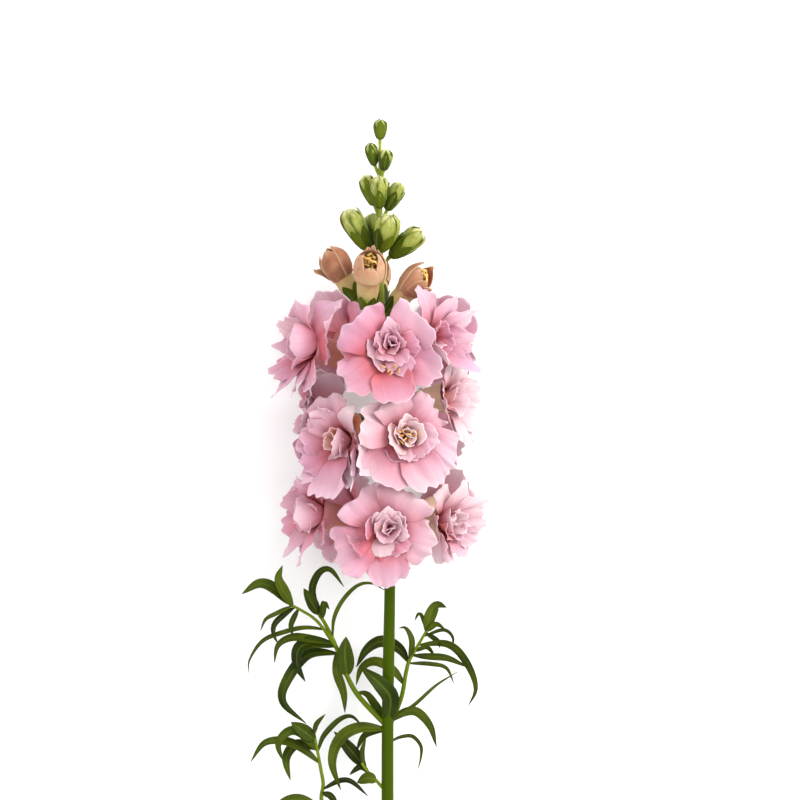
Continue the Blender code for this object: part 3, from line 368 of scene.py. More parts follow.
        Petal(60, 11.0, 5.0, (4, 18, 30, 36), (0.14, 0.08), 1.2, 2.4),
        Petal(285, 11.0, 5.0, (8, 28, 46, 56), (0.12, 0.06), 1.4, 2.6, deep=0.1),
    ),
    "top_right": (
        Petal(100, 22.5, 9.0, (36, 78, 96, 100), ruffle=1.1, rounding=0.3, point=0.08, pale=0.3),
        Petal(62, 20.0, 6.0, (24, 52, 66, 70), ruffle=1.2, point=0.25, rounding=0.35, pale=0.4),
        Petal(32, 22.0, 6.6, (20, 46, 60, 58), ruffle=1.2, point=0.2, rounding=0.35, pale=0.4),
        Petal(0, 19.0, 6.5, (14, 38, 52, 56), ruffle=1.2, point=0.2, rounding=0.35, deep=0.1),
        Petal(338, 19.0, 7.0, (14, 38, 52, 56), ruffle=1.3, point=0.1, rounding=0.3, deep=0.14),
        Petal(312, 25.0, 6.2, (16, 44, 58, 60), ruffle=1.2, point=0.2, rounding=0.4, deep=0.08),
        Petal(242, 19.5, 7.0, (10, 30, 44, 50), (0.05, 0.06), 0.8, rounding=0.3, pale=0.9),
        Petal(190, 12.5, 7.0, (40, 80, 100, 104), ruffle=0.9, deep=0.35),
        Petal(150, 15.0, 7.0, (40, 84, 104, 110), ruffle=0.9, deep=0.25, pale=0.3),
        Petal(80, 12.5, 5.5, (6, 20, 30, 30), (0.12, 0.08), 1.4, 2.8, deep=0.25),
        Petal(20, 12.5, 5.5, (4, 18, 30, 34), (0.12, 0.08), 1.5, 2.8, deep=0.2),
        Petal(320, 12.5, 5.5, (6, 22, 38, 44), (0.12, 0.06), 1.5, 2.8, deep=0.2),
        Petal(260, 11.5, 5.0, (0, 10, 20, 26), (0.16, 0.10), 1.0, 2.4, pale=0.5),
        Petal(140, 10.0, 4.6, (0, 8, 14, 14), (0.18, 0.12), 1.0, 2.2, deep=0.2),
    ),
    "middle_right": (
        Petal(62, 17.0, 8.0, (20, 50, 66, 70), ruffle=1.2, pale=0.8),
        Petal(95, 14.0, 7.5, (26, 60, 80, 86), ruffle=1.0, pale=0.8),
        Petal(15, 20.0, 6.5, (16, 40, 52, 48), ruffle=1.3, point=0.15, pale=0.8),
        Petal(342, 18.0, 7.0, (14, 38, 56, 60), ruffle=1.4, pale=0.6),
        Petal(318, 24.0, 7.4, (20, 50, 64, 62), ruffle=1.3, point=0.15, pale=0.9),
        Petal(296, 23.5, 8.0, (26, 60, 80, 84), ruffle=1.2, pale=0.8),
        Petal(262, 21.5, 6.0, (40, 78, 98, 108), ruffle=0.9, rounding=0.3),
        Petal(170, 9.5, 7.0, (20, 50, 80, 104), ruffle=0.8, pale=0.6),
        Petal(220, 11.0, 6.0, (30, 66, 90, 104), ruffle=1.0, pale=0.4),
        Petal(60, 12.0, 5.5, (6, 20, 34, 40), (0.12, 0.08), 1.5, 2.8, pale=0.4),
        Petal(350, 12.0, 5.5, (4, 18, 30, 34), (0.12, 0.08), 1.6, 2.8, pale=0.3),
        Petal(280, 12.0, 5.5, (8, 24, 40, 46), (0.12, 0.06), 1.5, 2.8, pale=0.3),
        Petal(130, 9.5, 4.6, (0, 10, 20, 24), (0.18, 0.12), 1.2, 2.2, warm=0.4),
    ),
    "bottom_right": (
        Petal(108, 16.5, 8.0, (30, 64, 84, 90), ruffle=1.0, pale=0.9),
        Petal(76, 19.0, 7.0, (20, 46, 60, 58), ruffle=1.2, point=0.15, pale=0.8),
        Petal(32, 19.5, 6.0, (16, 40, 54, 50), ruffle=1.3, point=0.2, pale=0.5),
        Petal(4, 20.0, 6.2, (12, 34, 44, 34), (0.04, 0.08), 1.4, pale=0.6),
        Petal(236, 20.0, 8.0, (30, 66, 84, 88), ruffle=1.1, point=0.12, deep=0.08, pale=0.2),
        Petal(285, 17.0, 7.5, (16, 44, 64, 70), ruffle=1.4, deep=0.1),
        Petal(325, 17.0, 7.0, (14, 40, 54, 54), ruffle=1.5, pale=0.3),
        Petal(196, 12.5, 7.0, (36, 76, 98, 104), ruffle=1.0, pale=0.6),
        Petal(168, 12.0, 6.5, (10, 24, 24, 8), (0.10, 0.12), 0.7, 3.2, deep=0.05),
        Petal(20, 12.5, 5.5, (4, 16, 26, 30), (0.12, 0.08), 1.8, 2.8, pale=0.5),
        Petal(330, 13.0, 5.5, (2, 12, 24, 34), (0.12, 0.06), 1.9, 2.8, pale=0.6),
        Petal(285, 12.5, 5.5, (4, 18, 34, 44), (0.12, 0.06), 1.7, 2.8, deep=0.1),
        Petal(230, 11.5, 5.5, (10, 28, 44, 50), (0.12, 0.06), 1.3, 3.0, deep=0.3, warm=0.3),
        Petal(90, 11.0, 5.0, (2, 12, 20, 22), (0.16, 0.10), 1.4, 2.2, pale=0.5),
        Petal(300, 9.0, 3.6, (-6, 0, 8, 20), (0.28, 0.20), 1.0, 0.8, pale=0.5),
    ),
}

# Stamens that show in a bloom's mouth: where they end in its face
OWN_STAMENS = {
    "top_front": ((-1.6, -5.2), (0.8, -6.6), (3.0, -5.0), (4.8, -6.8), (1.6, -8.0)),
    "middle_front": (
        (-3.6, 2.6), (-2.6, 0.6), (3.2, -0.8), (4.6, 0.4), (-1.4, 1.8), (-1.6, -1.0),
        (0.2, -2.0), (0.4, 2.6), (1.9, 1.6), (0.6, 0.4), (-3.2, -1.8),
    ),
    "middle_left": ((-1.0, -2.0), (0.6, 0.4), (2.4, -3.0)),
    "bottom_front": ((-3.4, 4.0), (-1.8, 2.6)),
    "bottom_right": ((-1.6, -5.0), (0.4, -6.0)),
    "top_left": ((3.6, -2.2), (4.4, 0.8)),
}

# Stamens: shares of its width along a strip, points across it, its thickness, and a peach bud's strips
CURL_SHAPE = (0.5, 0.8, 1.0, 0.8, 0.7, 0.9, 1.2, 1.1, 0.5)
CURL_COLUMNS = 6
CURL_THICKNESS = 0.35
PEACH_STAMENS = 26

# Peach buds, half open: y of the pedicel, seat of the bud in its calyx, its far end, greatest radius
PEACH_BUDS = {
    "left": (309.0, (-14.2, 320.4, 39.6), (-27.6, 341.0, 43.0), 7.2),
    "front": (306.0, (-9.4, 315.6, 48.0), (-7.6, 339.6, 60.0), 7.9),
    "right": (304.0, (-0.2, 313.6, 44.0), (18.0, 333.0, 49.0), 7.2),
    "back": (310.0, (-3.0, 318.0, 31.0), (-6.0, 337.0, 19.0), 6.6),
}
# How cream and how brown each one's head is
PEACH_TONES = {"left": (0.0, 0.95), "front": (0.75, 0.2), "right": (0.3, 0.45), "back": (0.2, 0.4)}
# Along the bud from 0 to 1, radius of the tube as a share of the greatest
PEACH_TUBE = ((0.0, 0.37), (0.26, 0.58), (0.44, 0.62), (0.55, 0.68), (0.68, 0.72), (0.80, 0.66))
# And of the head's folded lobes, as a share of its own greatest radius
PEACH_HEAD = (
    (0.0, 0.40), (0.44, 0.70), (0.55, 0.90), (0.70, 1.0), (0.82, 0.95), (0.93, 0.70), (1.02, 0.34),
)
HEAD_SHARE = 0.84
# Lobes: turn, half turn, where they start and end along the bud, how far they stand off, curl of the rim
PEACH_LOBES = {
    "front": (
        (92, 32, 0.52, 0.84, 1.2, 0.3),
        (26, 52, 0.50, 0.98, 0.7, -0.5),
        (160, 50, 0.50, 0.99, 0.4, -0.4),
        (250, 52, 0.50, 1.08, 0.2, 0.1),
        (300, 46, 0.50, 1.04, 0.6, 0.0),
        (205, 40, 0.50, 1.02, 0.9, 0.3),
    ),
    "left": (
        (80, 60, 0.44, 1.00, 0.6, 0.3),
        (150, 46, 0.44, 1.02, 0.9, 0.2),
        (20, 42, 0.46, 0.97, 0.3, 0.8),
        (255, 46, 0.44, 1.00, 0.4, 0.4),
        (328, 26, 0.42, 0.80, 0.9, 4.4),
    ),
    "right": (
        (75, 50, 0.44, 0.92, 0.4, 0.9),
        (150, 40, 0.48, 0.80, 0.3, 2.2),
        (10, 48, 0.42, 1.02, 0.8, 0.4),
        (250, 50, 0.44, 1.04, 0.6, 0.6),
        (115, 30, 0.50, 0.86, 1.1, 1.4),
    ),
    "back": (
        (90, 56, 0.44, 0.98, 0.5, 0.6),
        (200, 50, 0.44, 1.00, 0.8, 0.4),
        (310, 50, 0.46, 0.98, 0.4, 0.8),
    ),
}

# Green buds: y of the pedicel, seat of the bud, its far end, greatest radius, share in sepals, looseness
GREEN_BUDS = {
    "01": (332.0, (1.6, 339.0, 40.2), (15.0, 350.0, 43.5), 4.7, 0.56, 1.0),
    "02": (334.0, (-9.4, 342.4, 38.6), (-18.8, 359.6, 41.0), 4.9, 0.52, 1.0),
    "03": (333.0, (-3.2, 341.6, 43.6), (1.2, 356.8, 50.6), 5.6, 0.40, 0.6),
    "04": (337.0, (-5.4, 343.0, 33.6), (-7.4, 358.0, 27.0), 4.4, 0.55, 0.3),
    "05": (354.0, (-0.4, 359.6, 39.6), (5.6, 371.8, 42.0), 3.7, 0.72, 0.2),
    "06": (356.0, (-6.2, 361.8, 38.8), (-10.6, 375.2, 39.8), 3.6, 0.86, 0.2),
    "07": (355.0, (-3.7, 360.6, 42.4), (-4.3, 374.2, 49.4), 3.9, 0.66, 0.3),
    "08": (357.0, (-3.2, 362.6, 36.4), (-3.0, 375.0, 31.0), 3.4, 0.80, 0.2),
    "09": (373.0, (-1.8, 377.4, 42.0), (-0.6, 386.6, 44.6), 3.0, 0.90, 0.1),
    "10": (375.0, (-6.1, 379.6, 40.0), (-8.2, 389.4, 41.0), 2.7, 0.96, 0.0),
    "tip": (390.5, (-3.6, 391.3, 40.2), (-3.4, 400.0, 40.5), 3.0, 0.99, 0.0),
}
GREEN_PROFILE = (
    (0.0, 0.28), (0.04, 0.46), (0.14, 0.62), (0.30, 0.80), (0.55, 0.96), (0.75, 0.95), (0.88, 0.80),
    (0.96, 0.50), (1.0, 0.14),
)
LOWER_GREEN = ("01", "02", "03", "04")
LOOSE_LIPS = 0.25  # buds looser than this show five lips, the others three
CLOSED_LIPS = 3

# Calyces: depth below the seat, rings of a pedicel, and how far the sepals reach on each kind
CALYX_DEPTH = 1.9
PEDICEL_RINGS = 9
SEPALS = 8.5
PEACH_SEPALS = 7.0
GREEN_SEPALS = 10.5
GREEN_PEDICEL_RADIUS = 0.8

# Leaves: width, roll out of the plan, rise of the middle and of the tip, points in the plan to the tip
LEAF_COLUMNS = 9
STEM_LEAVES = (
    (3.2, 60, 1, 4, ((2, 128), (11, 136), (21.5, 145), (31.5, 151))),
    (5.5, 40, 3, -4, ((2.5, 128.5), (7, 133), (13.5, 133), (19.5, 126), (22, 116.5))),
    (6.5, 40, 5, -2, ((-2, 125.5), (-13, 125), (-21.5, 120), (-25, 110), (-21.5, 97))),
    (3.5, 30, -1, -5, ((-2, 124), (-10, 122), (-14.5, 114.5))),
    (8.0, 10, 4, 8, ((0.5, 128.5), (1, 139), (-3.5, 145.5), (-8.5, 150), (-12.5, 153.5))),
    (4.0, 25, -2, -4, ((-2.5, 129), (-6.5, 136), (-10, 140.5), (-15.5, 141))),
    (2.4, 45, -3, -6, ((1.5, 117), (5, 121), (11, 121.5), (15, 117), (15, 111.5), (13.5, 106))),
    (4.0, 35, -2, -6, ((0.5, 204), (6.5, 202.5), (10, 197.5))),
    (5.0, 40, 3, -4, ((2, 60), (12, 63), (20, 58), (24, 46))),
    (6.0, 40, 4, -4, ((-2, 56), (-13, 55), (-20, 47), (-21, 36))),
)

# Side shoots: points of the line, radius at base and tip, leaves
SHOOT_LEFT = (
    ((-1.4, 127.0, 21.2), (-13.0, 139.5, 24.6), (-18.5, 149.0, 26.4), (-22.0, 158.5, 28.0),
     (-25.0, 166.0, 29.2), (-28.5, 173.0, 29.8), (-31.5, 177.5, 30.2)),
    (1.25, 0.75),
    (
        (5.6, 20, 2, 4, ((-31.5, 177), (-34.5, 182.5), (-38, 189))),
        (3.8, 30, 0, -4, ((-31, 176), (-34.5, 187.5), (-31.5, 196), (-26, 197.5), (-20, 189.5))),
        (3.2, 20, 2, 1, ((-30, 175), (-29, 182.5), (-26.5, 179.5))),
        (2.8, 45, 3, -4, ((-29.5, 168.5), (-37.5, 171), (-47, 169), (-56.5, 165), (-62.5, 156.5),
                          (-63, 150.5))),
        (4.6, 40, 2, -4, ((-26, 163), (-34, 165.5), (-43, 166.5), (-49.5, 163), (-51.5, 155))),
        (6.6, 35, 3, -4, ((-25, 162), (-34, 164), (-40, 161.5), (-41, 154.5), (-37.5, 146.5))),
        (6.2, 40, -1, -2, ((-24, 158.5), (-36, 158.5), (-45, 147.5), (-47, 137.5), (-37, 127.5))),
        (2.4, 40, 2, 7, ((-25.5, 166.5), (-24.5, 175.5), (-20.5, 184), (-14, 190.5), (-7.5, 191.5),
                         (-1, 188))),
        (8.0, 10, 2, 3, ((-18.5, 149), (-19.5, 158.5), (-19, 167))),
        (4.4, 20, 2, -2, ((-23.5, 161), (-23, 152), (-20, 142), (-19.5, 132.5))),
    ),
)
SHOOT_LEFT_FORK = (
    ((-23.6, 162.0, 28.4), (-29.0, 170.5, 31.4), (-33.5, 175.5, 32.4), (-39.0, 179.0, 33.4),
     (-44.5, 182.0, 35.0)),
    (0.8, 0.6),
    (
        (5.6, 30, 3, -2, ((-44, 182), (-51, 188.5), (-58, 191), (-66, 186.5))),
        (5.2, 25, 2, 5, ((-42.5, 182), (-47.5, 188.5), (-49.5, 194), (-47.5, 199.5))),
        (3.6, 45, 1, -4, ((-44, 176.5), (-50, 174), (-51.5, 169), (-49.5, 163.5))),
        (2.6, 45, 2, -3, ((-44, 179.5), (-50.5, 177.5), (-55, 175), (-57.5, 170))),
        (3.0, 35, 1, -3, ((-41.5, 177.5), (-43.5, 172.5), (-43, 167))),
    ),
)
SHOOT_RIGHT = (
    ((1.4, 127.6, 20.8), (6.0, 139.0, 19.6), (8.0, 149.5, 18.6), (9.5, 155.5, 18.4),
     (12.0, 160.0, 18.8), (15.5, 166.0, 19.8), (17.5, 169.5, 20.6)),
    (1.1, 0.6),
    (
        (6.0, 25, 2, 1, ((17.5, 169), (19, 177), (22, 181.5), (26.5, 180))),
        (2.2, 40, 1, 0, ((16.5, 170.5), (14.5, 177), (12, 174))),
        (3.0, 30, 1, 0, ((17.5, 169), (21.5, 172.5), (25.5, 170.5))),
        (2.6, 30, 1, -1, ((17, 168.5), (22.5, 165), (23.5, 161.5))),
        (2.2, 45, 2, -2, ((16, 167), (25, 170), (29.5, 166.5), (29, 160.5))),
        (4.6, 40, 3, -5, ((13.5, 163), (25, 164), (32, 160.5), (38, 151.5), (40, 142.5), (36.5, 135))),
        (4.0, 35, 3, -2, ((11.5, 158), (19, 158), (27.5, 157), (36.5, 152.5))),
        (2.8, 45, -1, -4, ((9.5, 154.5), (19, 154.5), (26.5, 152.5), (30, 145))),
        (3.2, 35, 2, 1, ((9.5, 156), (10.5, 165), (8, 170.5), (5, 170.5))),
        (2.4, 30, 1, -2, ((12, 160), (17.5, 162), (21.5, 157.5))),
        (6.0, 30, -1, -3, ((9, 155), (4.5, 161), (-3, 164), (-9.5, 160.5), (-14.5, 152.5))),
        (5.0, 35, -1, -3, ((7, 145), (2, 151), (-6, 155), (-12, 152), (-14.5, 144.5))),
    ),
)
SHOOT_LOWER_LEFT = (
    ((-1.4, 59.6, 11.8), (-14.0, 66.0, 13.0), (-23.5, 77.5, 14.0), (-30.0, 91.0, 15.5),
     (-29.5, 99.5, 16.6), (-30.5, 106.0, 17.6), (-32.0, 114.5, 18.8), (-33.5, 122.5, 19.6)),
    (1.2, 0.6),
    (
        (3.2, 40, -1, -3, ((-32, 114.5), (-29.5, 121.5), (-22.5, 129), (-16.5, 130.5), (-11.5, 125.5))),
        (2.6, 30, 2, 2, ((-33.5, 122.5), (-32.5, 127.5), (-28.5, 131.5))),
        (6.5, 15, 1, 3, ((-33, 119.5), (-38.5, 124), (-44, 128))),
        (5.0, 35, 3, -3, ((-32.5, 114.5), (-40, 123), (-45.5, 123), (-49.5, 117.5), (-47.5, 109.5))),
        (5.0, 30, -1, -5, ((-32.5, 115.5), (-41, 117.5), (-46, 111.5), (-44.5, 101))),
        (4.8, 40, 2, -4, ((-31.5, 109), (-40, 116), (-47.5, 119), (-56, 118), (-62.5, 109.5))),
        (3.2, 40, 2, 0, ((-29, 97), (-22.5, 101.5), (-16.5, 101), (-9, 94))),
        (3.6, 30, 3, 0, ((-29.5, 95), (-26, 94.5), (-22.5, 89.5))),
        (5.0, 35, 3, -3, ((-31, 85.5), (-40, 92.5), (-49, 89.5), (-55.5, 79))),
    ),
)
SHOOT_SMALL = (
    ((-1.2, 96.4, 17.0), (-5.5, 101.5, 19.4), (-9.5, 106.0, 21.4), (-12.0, 109.5, 22.4)),
    (0.85, 0.6),
    (
        (6.0, 15, -2, -3, ((-10, 106.5), (-17, 115), (-24.5, 123.5))),
        (2.6, 30, 0, -2, ((-11, 108), (-12, 114.5), (-10, 121))),
        (5.4, 20, 2, 1, ((-5, 101.5), (-9, 102.5), (-14, 100.5))),
        (3.0, 30, 1, -2, ((-8.5, 105), (-12.5, 107.5), (-17.5, 104))),
    ),
)
SHOOTS = {
    "left": (SHOOT_LEFT, SHOOT_LEFT_FORK),
    "right": (SHOOT_RIGHT,),
    "lower_left": (SHOOT_LOWER_LEFT,),
    "small": (SHOOT_SMALL,),
}


def unit(vector):
    """The vector at length 1."""
    vector = np.asarray(vector, float)
    return vector / np.linalg.norm(vector)


def smooth_line(points, count):
    """Points along a Catmull-Rom curve through the given ones."""
    p = np.array(points, float)
    ends = np.vstack([2 * p[0] - p[1], p, 2 * p[-1] - p[-2]])
    t = np.linspace(0, len(p) - 1, count)
    i = np.minimum(t.astype(int), len(p) - 2)
    f = (t - i)[:, None]
    a, b, c, d = ends[i], ends[i + 1], ends[i + 2], ends[i + 3]
    return b + 0.5 * f * (c - a + f * (2 * a - 5 * b + 4 * c - d + f * (3 * (b - c) + d - a)))


STEM_LINE = smooth_line(STEM_ROUTE, 181)


def stem_at(y):
    """Centre of the stem at that y."""
    return np.array([np.interp(y, STEM_LINE[:, 1], STEM_LINE[:, k]) for k in range(3)])


def side_axes(axis):
    """Two directions square to an axis."""
    helper = np.array([0.0, 0.0, 1.0]) if abs(axis[2]) < 0.9 else np.array([1.0, 0.0, 0.0])
    first = unit(np.cross(helper, axis))
    return first, np.cross(axis, first)


# Meshes

VALUES = ("along", "across", "edge", "tint", "pale", "warm")


class Skin:
    """One mesh, gathered from grids of points in millimetres, with values for the materials at each."""

    def __init__(self):
        self.points, self.faces, self.slots = [], [], []
        self.values = {name: [] for name in VALUES}
        self.count = 0

    def keep(self, points, faces, slot, values):
        """Adds points, faces between them and their values."""
        for name in VALUES:
            given = np.asarray(values.get(name, 0.0), float)
            self.values[name].append(np.broadcast_to(given, (len(points),)) if given.ndim < 1 else given)
        self.points.append(points)
        self.faces.append(faces + self.count)
        self.slots += [slot] * len(faces)
        self.count += len(points)

    def blade(self, grid, thickness, slot=0, **values):
        """A thin closed blade with the grid for its middle surface, of one thickness or of many."""
        rows, columns = grid.shape[:2]
        normal = np.cross(np.gradient(grid, axis=0), np.gradient(grid, axis=1))
        normal /= np.maximum(np.linalg.norm(normal, axis=-1, keepdims=True), LEAST_LENGTH)
        half = normal * np.broadcast_to(np.asarray(thickness, float) / 2, (rows, columns))[..., None]
        points = np.concatenate([(grid + half).reshape(-1, 3), (grid - half).reshape(-1, 3)])
        index = np.arange(rows * columns).reshape(rows, columns)
        top = quads(index)
        under = quads(index)[:, ::-1] + rows * columns
        rim = np.concatenate([index[0], index[1:, -1], index[-1, -2::-1], index[-2:0:-1, 0]])
        after = np.roll(rim, -1)
        side = np.stack([rim, after, after + rows * columns, rim + rows * columns], axis=1)
        both = {}
        for name, value in values.items():
            both[name] = np.tile(np.broadcast_to(value, (rows, columns)).ravel(), 2)
        self.keep(points, np.concatenate([top, under, side]), slot, both)

    def tube(self, grid, slot=0, **values):
        """A closed body of rings, each a row of the grid, with its ends closed by their middles."""
        rows, columns = grid.shape[:2]
        index = np.arange(rows * columns).reshape(rows, columns)
        around = np.concatenate([index, index[:, :1]], axis=1)
        faces = [quads(around)[:, ::-1]]
        middle = grid[[0, -1]].mean(axis=1)
        first, last = rows * columns, rows * columns + 1
        ends = (around[0, 1:], around[0, :-1], first), (around[-1, :-1], around[-1, 1:], last)
        for start, end, centre in ends:
            corner = np.full(columns, centre)
            faces.append(np.stack([start, end, corner, corner], axis=1))
        whole = {}
        for name, value in values.items():
            spread = np.broadcast_to(value, (rows, columns))
            whole[name] = np.concatenate([spread.ravel(), [spread[0].mean(), spread[-1].mean()]])
        self.keep(np.concatenate([grid.reshape(-1, 3), middle]), np.concatenate(faces), slot, whole)

    def made(self, name, materials):
        """The object, in its place in the frame."""
        mesh = bpy.data.meshes.new(name)
        points = (np.concatenate(self.points) + SHIFT) * MM
        faces = [row[:3] if row[2] == row[3] else row for row in np.concatenate(self.faces).tolist()]
        mesh.from_pydata(points.tolist(), [], faces)
        for value_name, parts in self.values.items():
            made = mesh.attributes.new(value_name, "FLOAT", "POINT")
            made.data.foreach_set("value", np.concatenate(parts).astype(np.float32))
        for material in materials:
            mesh.materials.append(material)
        mesh.polygons.foreach_set("material_index", self.slots)
        mesh.shade_smooth()
        piece = bpy.data.objects.new(name, mesh)
        bpy.context.scene.collection.objects.link(piece)
        return piece


def quads(index):
    """The four corners of each cell of a grid of point numbers."""
    corners = index[:-1, :-1], index[1:, :-1], index[1:, 1:], index[:-1, 1:]
    return np.stack([corner.ravel() for corner in corners], axis=1)


def round_axis(seat, axis, height, radius, turn):
    """Points round an axis, from their heights over its seat, their distances from it and their turns."""
    first, second = side_axes(axis)
    ring = np.cos(turn)[..., None] * first + np.sin(turn)[..., None] * second
    return seat + height[..., None] * axis + radius[..., None] * ring


def rings(line, radii, sides):
    """Rings of points round a line, without twist from one to the next."""
    line = np.asarray(line, float)
    tangents = np.gradient(line, axis=0)
    first, _ = side_axes(unit(tangents[0]))
    made = []
    for centre, tangent, radius in zip(line, tangents, radii):
        tangent = unit(tangent)
        first = unit(first - (first @ tangent) * tangent)
        second = np.cross(tangent, first)
        turns = np.linspace(0, TURN, sides, endpoint=False)[:, None]
        made.append(centre + radius * (np.cos(turns) * first + np.sin(turns) * second))
    return np.array(made)


# Materials


class Nodes:
    """A material's nodes, made and linked with short calls."""

    def __init__(self, name, **finish):
        self.material = bpy.data.materials.new(name)
        self.material.use_nodes = True
        self.tree = self.material.node_tree
        self.shader = self.tree.nodes["Principled BSDF"]
        for socket, value in {"Subsurface_Scale": SUBSURFACE_DEPTH, **finish}.items():
            self.shader.inputs[socket.replace("_", " ")].default_value = value

    def add(self, kind, inputs=(), **settings):
        """A node with its settings, and its inputs as values or as outputs of other nodes."""
        made = self.tree.nodes.new(kind)
        for name, value in settings.items():
            setattr(made, name, value)
        for socket, value in dict(inputs).items():
            self.put(made.inputs[socket], value)
        return made

    def put(self, socket, value):
        """Links another node's output to a socket, or sets the socket's own value."""
        if isinstance(value, bpy.types.NodeSocket):
            self.tree.links.new(value, socket)
        else:
            socket.default_value = value

    def value(self, name):
        """One of the mesh's values."""
        return self.add("ShaderNodeAttribute", attribute_name=name).outputs["Fac"]

    def math(self, operation, first, second=0.0):
        """One sum of two numbers."""
        return self.add("ShaderNodeMath", {0: first, 1: second}, operation=operation).outputs[0]

    def times(self, first, second):
        """The product of two numbers."""
        return self.math("MULTIPLY", first, second)

    def plus(self, first, second):
        """Two numbers added."""
        return self.math("ADD", first, second)

    def swing(self, noise, amount):
        """Noise as a number either side of 0."""
        return self.times(self.math("SUBTRACT", noise, 0.5), amount)

    def ramp(self, factor, stops):
        """A colour, or a shade of grey, for each value of the factor."""
        made = self.add("ShaderNodeValToRGB", {"Fac": factor})
        elements = made.color_ramp.elements
        while len(elements) < len(stops):
            elements.new(1.0)
        for element, (position, colour) in zip(elements, stops):
            shade = colour if isinstance(colour, tuple) else (colour,) * 3
            element.position = position
            element.color = (*shade, 1.0)
        return made.outputs["Color"]

    def mix(self, factor, first, second, blend="MIX"):
        """Two colours mixed."""
        made = self.add("ShaderNodeMix", data_type="RGBA", blend_type=blend)
        for socket, value in ((0, factor), (6, first), (7, second)):
            self.put(made.inputs[socket], (*value, 1.0) if isinstance(value, tuple) else value)
        return made.outputs[2]

    def shaded(self, colour, strength, factor, stops):
        """A colour, darkened or tinted by a ramp of the factor."""
        return self.mix(strength, colour, self.ramp(factor, stops), "MULTIPLY")

    def noise(self, scale, detail=3.0, vector=None):
        """Soft noise, from the object's own place unless a vector is given."""
        if vector is None:
            vector = self.add("ShaderNodeTexCoord").outputs["Object"]
        inputs = {"Vector": vector, "Scale": scale, "Detail": detail}
        return self.add("ShaderNodeTexNoise", inputs).outputs["Fac"]

    def streaks(self, detail, across, along, seed=0.0):
        """Noise in long streaks, so many across the surface and fewer along it."""
        x = self.times(self.value("across"), across)
        y = self.times(self.value("along"), along)
        place = self.add("ShaderNodeCombineXYZ", {0: x, 1: y, 2: seed})
        return self.noise(1.0, detail, place.outputs[0])

    def finish(self, colour, height=None, strength=0.0, depth=0.0, roughness=None):
        """Links the colour, the bump and the roughness to the shader."""
        self.put(self.shader.inputs["Base Color"], colour)
        if roughness is not None:
            self.put(self.shader.inputs["Roughness"], roughness)
        if height is not None:
            bump = self.add("ShaderNodeBump", {"Height": height, "Strength": strength, "Distance": depth})
            self.put(self.shader.inputs["Normal"], bump.outputs[0])
        return self.material


def petal_material():
    """Pink petals: dark red in the throat, partly its own colour and partly painted shade, deep pink above
    it, pale towards the rim, with a light rim that is partly a painted highlight, inner petals paler as
    painted light, and faint veins.
    """
    n = Nodes(
        "petal",
        Roughness=0.45,
        Specular_IOR_Level=0.25,
        Subsurface_Weight=0.4,
        Subsurface_Radius=(0.6, 0.52, 0.55),
        Subsurface_Scale=0.002,
    )
    along = n.value("along")
    veins = n.streaks(4.0, 9.0, 1.4, n.times(n.value("tint"), 37.0))
    # The dark red at the throat end is partly the throat's own colour and partly painted shade
    stops = (
        (0.0, (0.42, 0.075, 0.08)),
        (0.16, (0.45, 0.10, 0.12)),
        (0.34, (0.47, 0.15, 0.195)),
        (0.56, (0.485, 0.215, 0.28)),
        (0.80, (0.50, 0.275, 0.34)),
        (1.0, (0.52, 0.31, 0.375)),
    )
    uneven = n.plus(along, n.swing(n.noise(75.0, 2.0), 0.35))
    colour = n.ramp(n.plus(uneven, n.swing(veins, 0.16)), stops)
    colour = n.shaded(colour, 1.0, n.noise(45.0, 1.0), ((0.45, WHITE), (0.68, (0.95, 0.95, 1.04))))
    colour = n.shaded(colour, 0.35, veins, ((0.30, (0.90, 0.80, 0.83)), (0.60, WHITE)))
    inside = n.ramp(along, ((0.1, 1.0), (0.6, 0.75), (1.0, 0.1)))
    colour = n.mix(n.times(n.value("warm"), inside), colour, (0.62, 0.24, 0.11))
    colour = n.mix(n.times(n.value("pale"), n.times(along, 0.6)), colour, (0.66, 0.51, 0.51))
    # The light rim: the thin rim's paler tone, with a painted highlight along the edge
    colour = n.mix(n.times(n.value("edge"), 0.22), colour, (0.70, 0.58, 0.63))
    return n.finish(colour, veins, 0.2, 0.0005)


def tube_material():
    """A bloom's tube: cream with a peach flush, pink at the mouth, paler on the pale blooms, and darkened
    overall as painted shade from the petals above it.
    """
    n = Nodes("tube", Roughness=0.55, Specular_IOR_Level=0.2, Subsurface_Weight=0.3)
    # Cream, peach and pink, all darkened as painted shade from the petals over the tube
    stops = (
        (0.0, (0.30, 0.24, 0.06)),
        (0.3, (0.36, 0.17, 0.07)),
        (0.7, (0.40, 0.14, 0.10)),
        (1.0, (0.42, 0.15, 0.16)),
    )
    colour = n.ramp(n.plus(n.value("along"), n.times(n.noise(120.0), 0.12)), stops)
    colour = n.mix(n.times(n.value("pale"), 1.8), colour, (0.60, 0.42, 0.30))
    return n.finish(colour, n.streaks(2.0, 18.0, 2.0), 0.3, 0.0005)


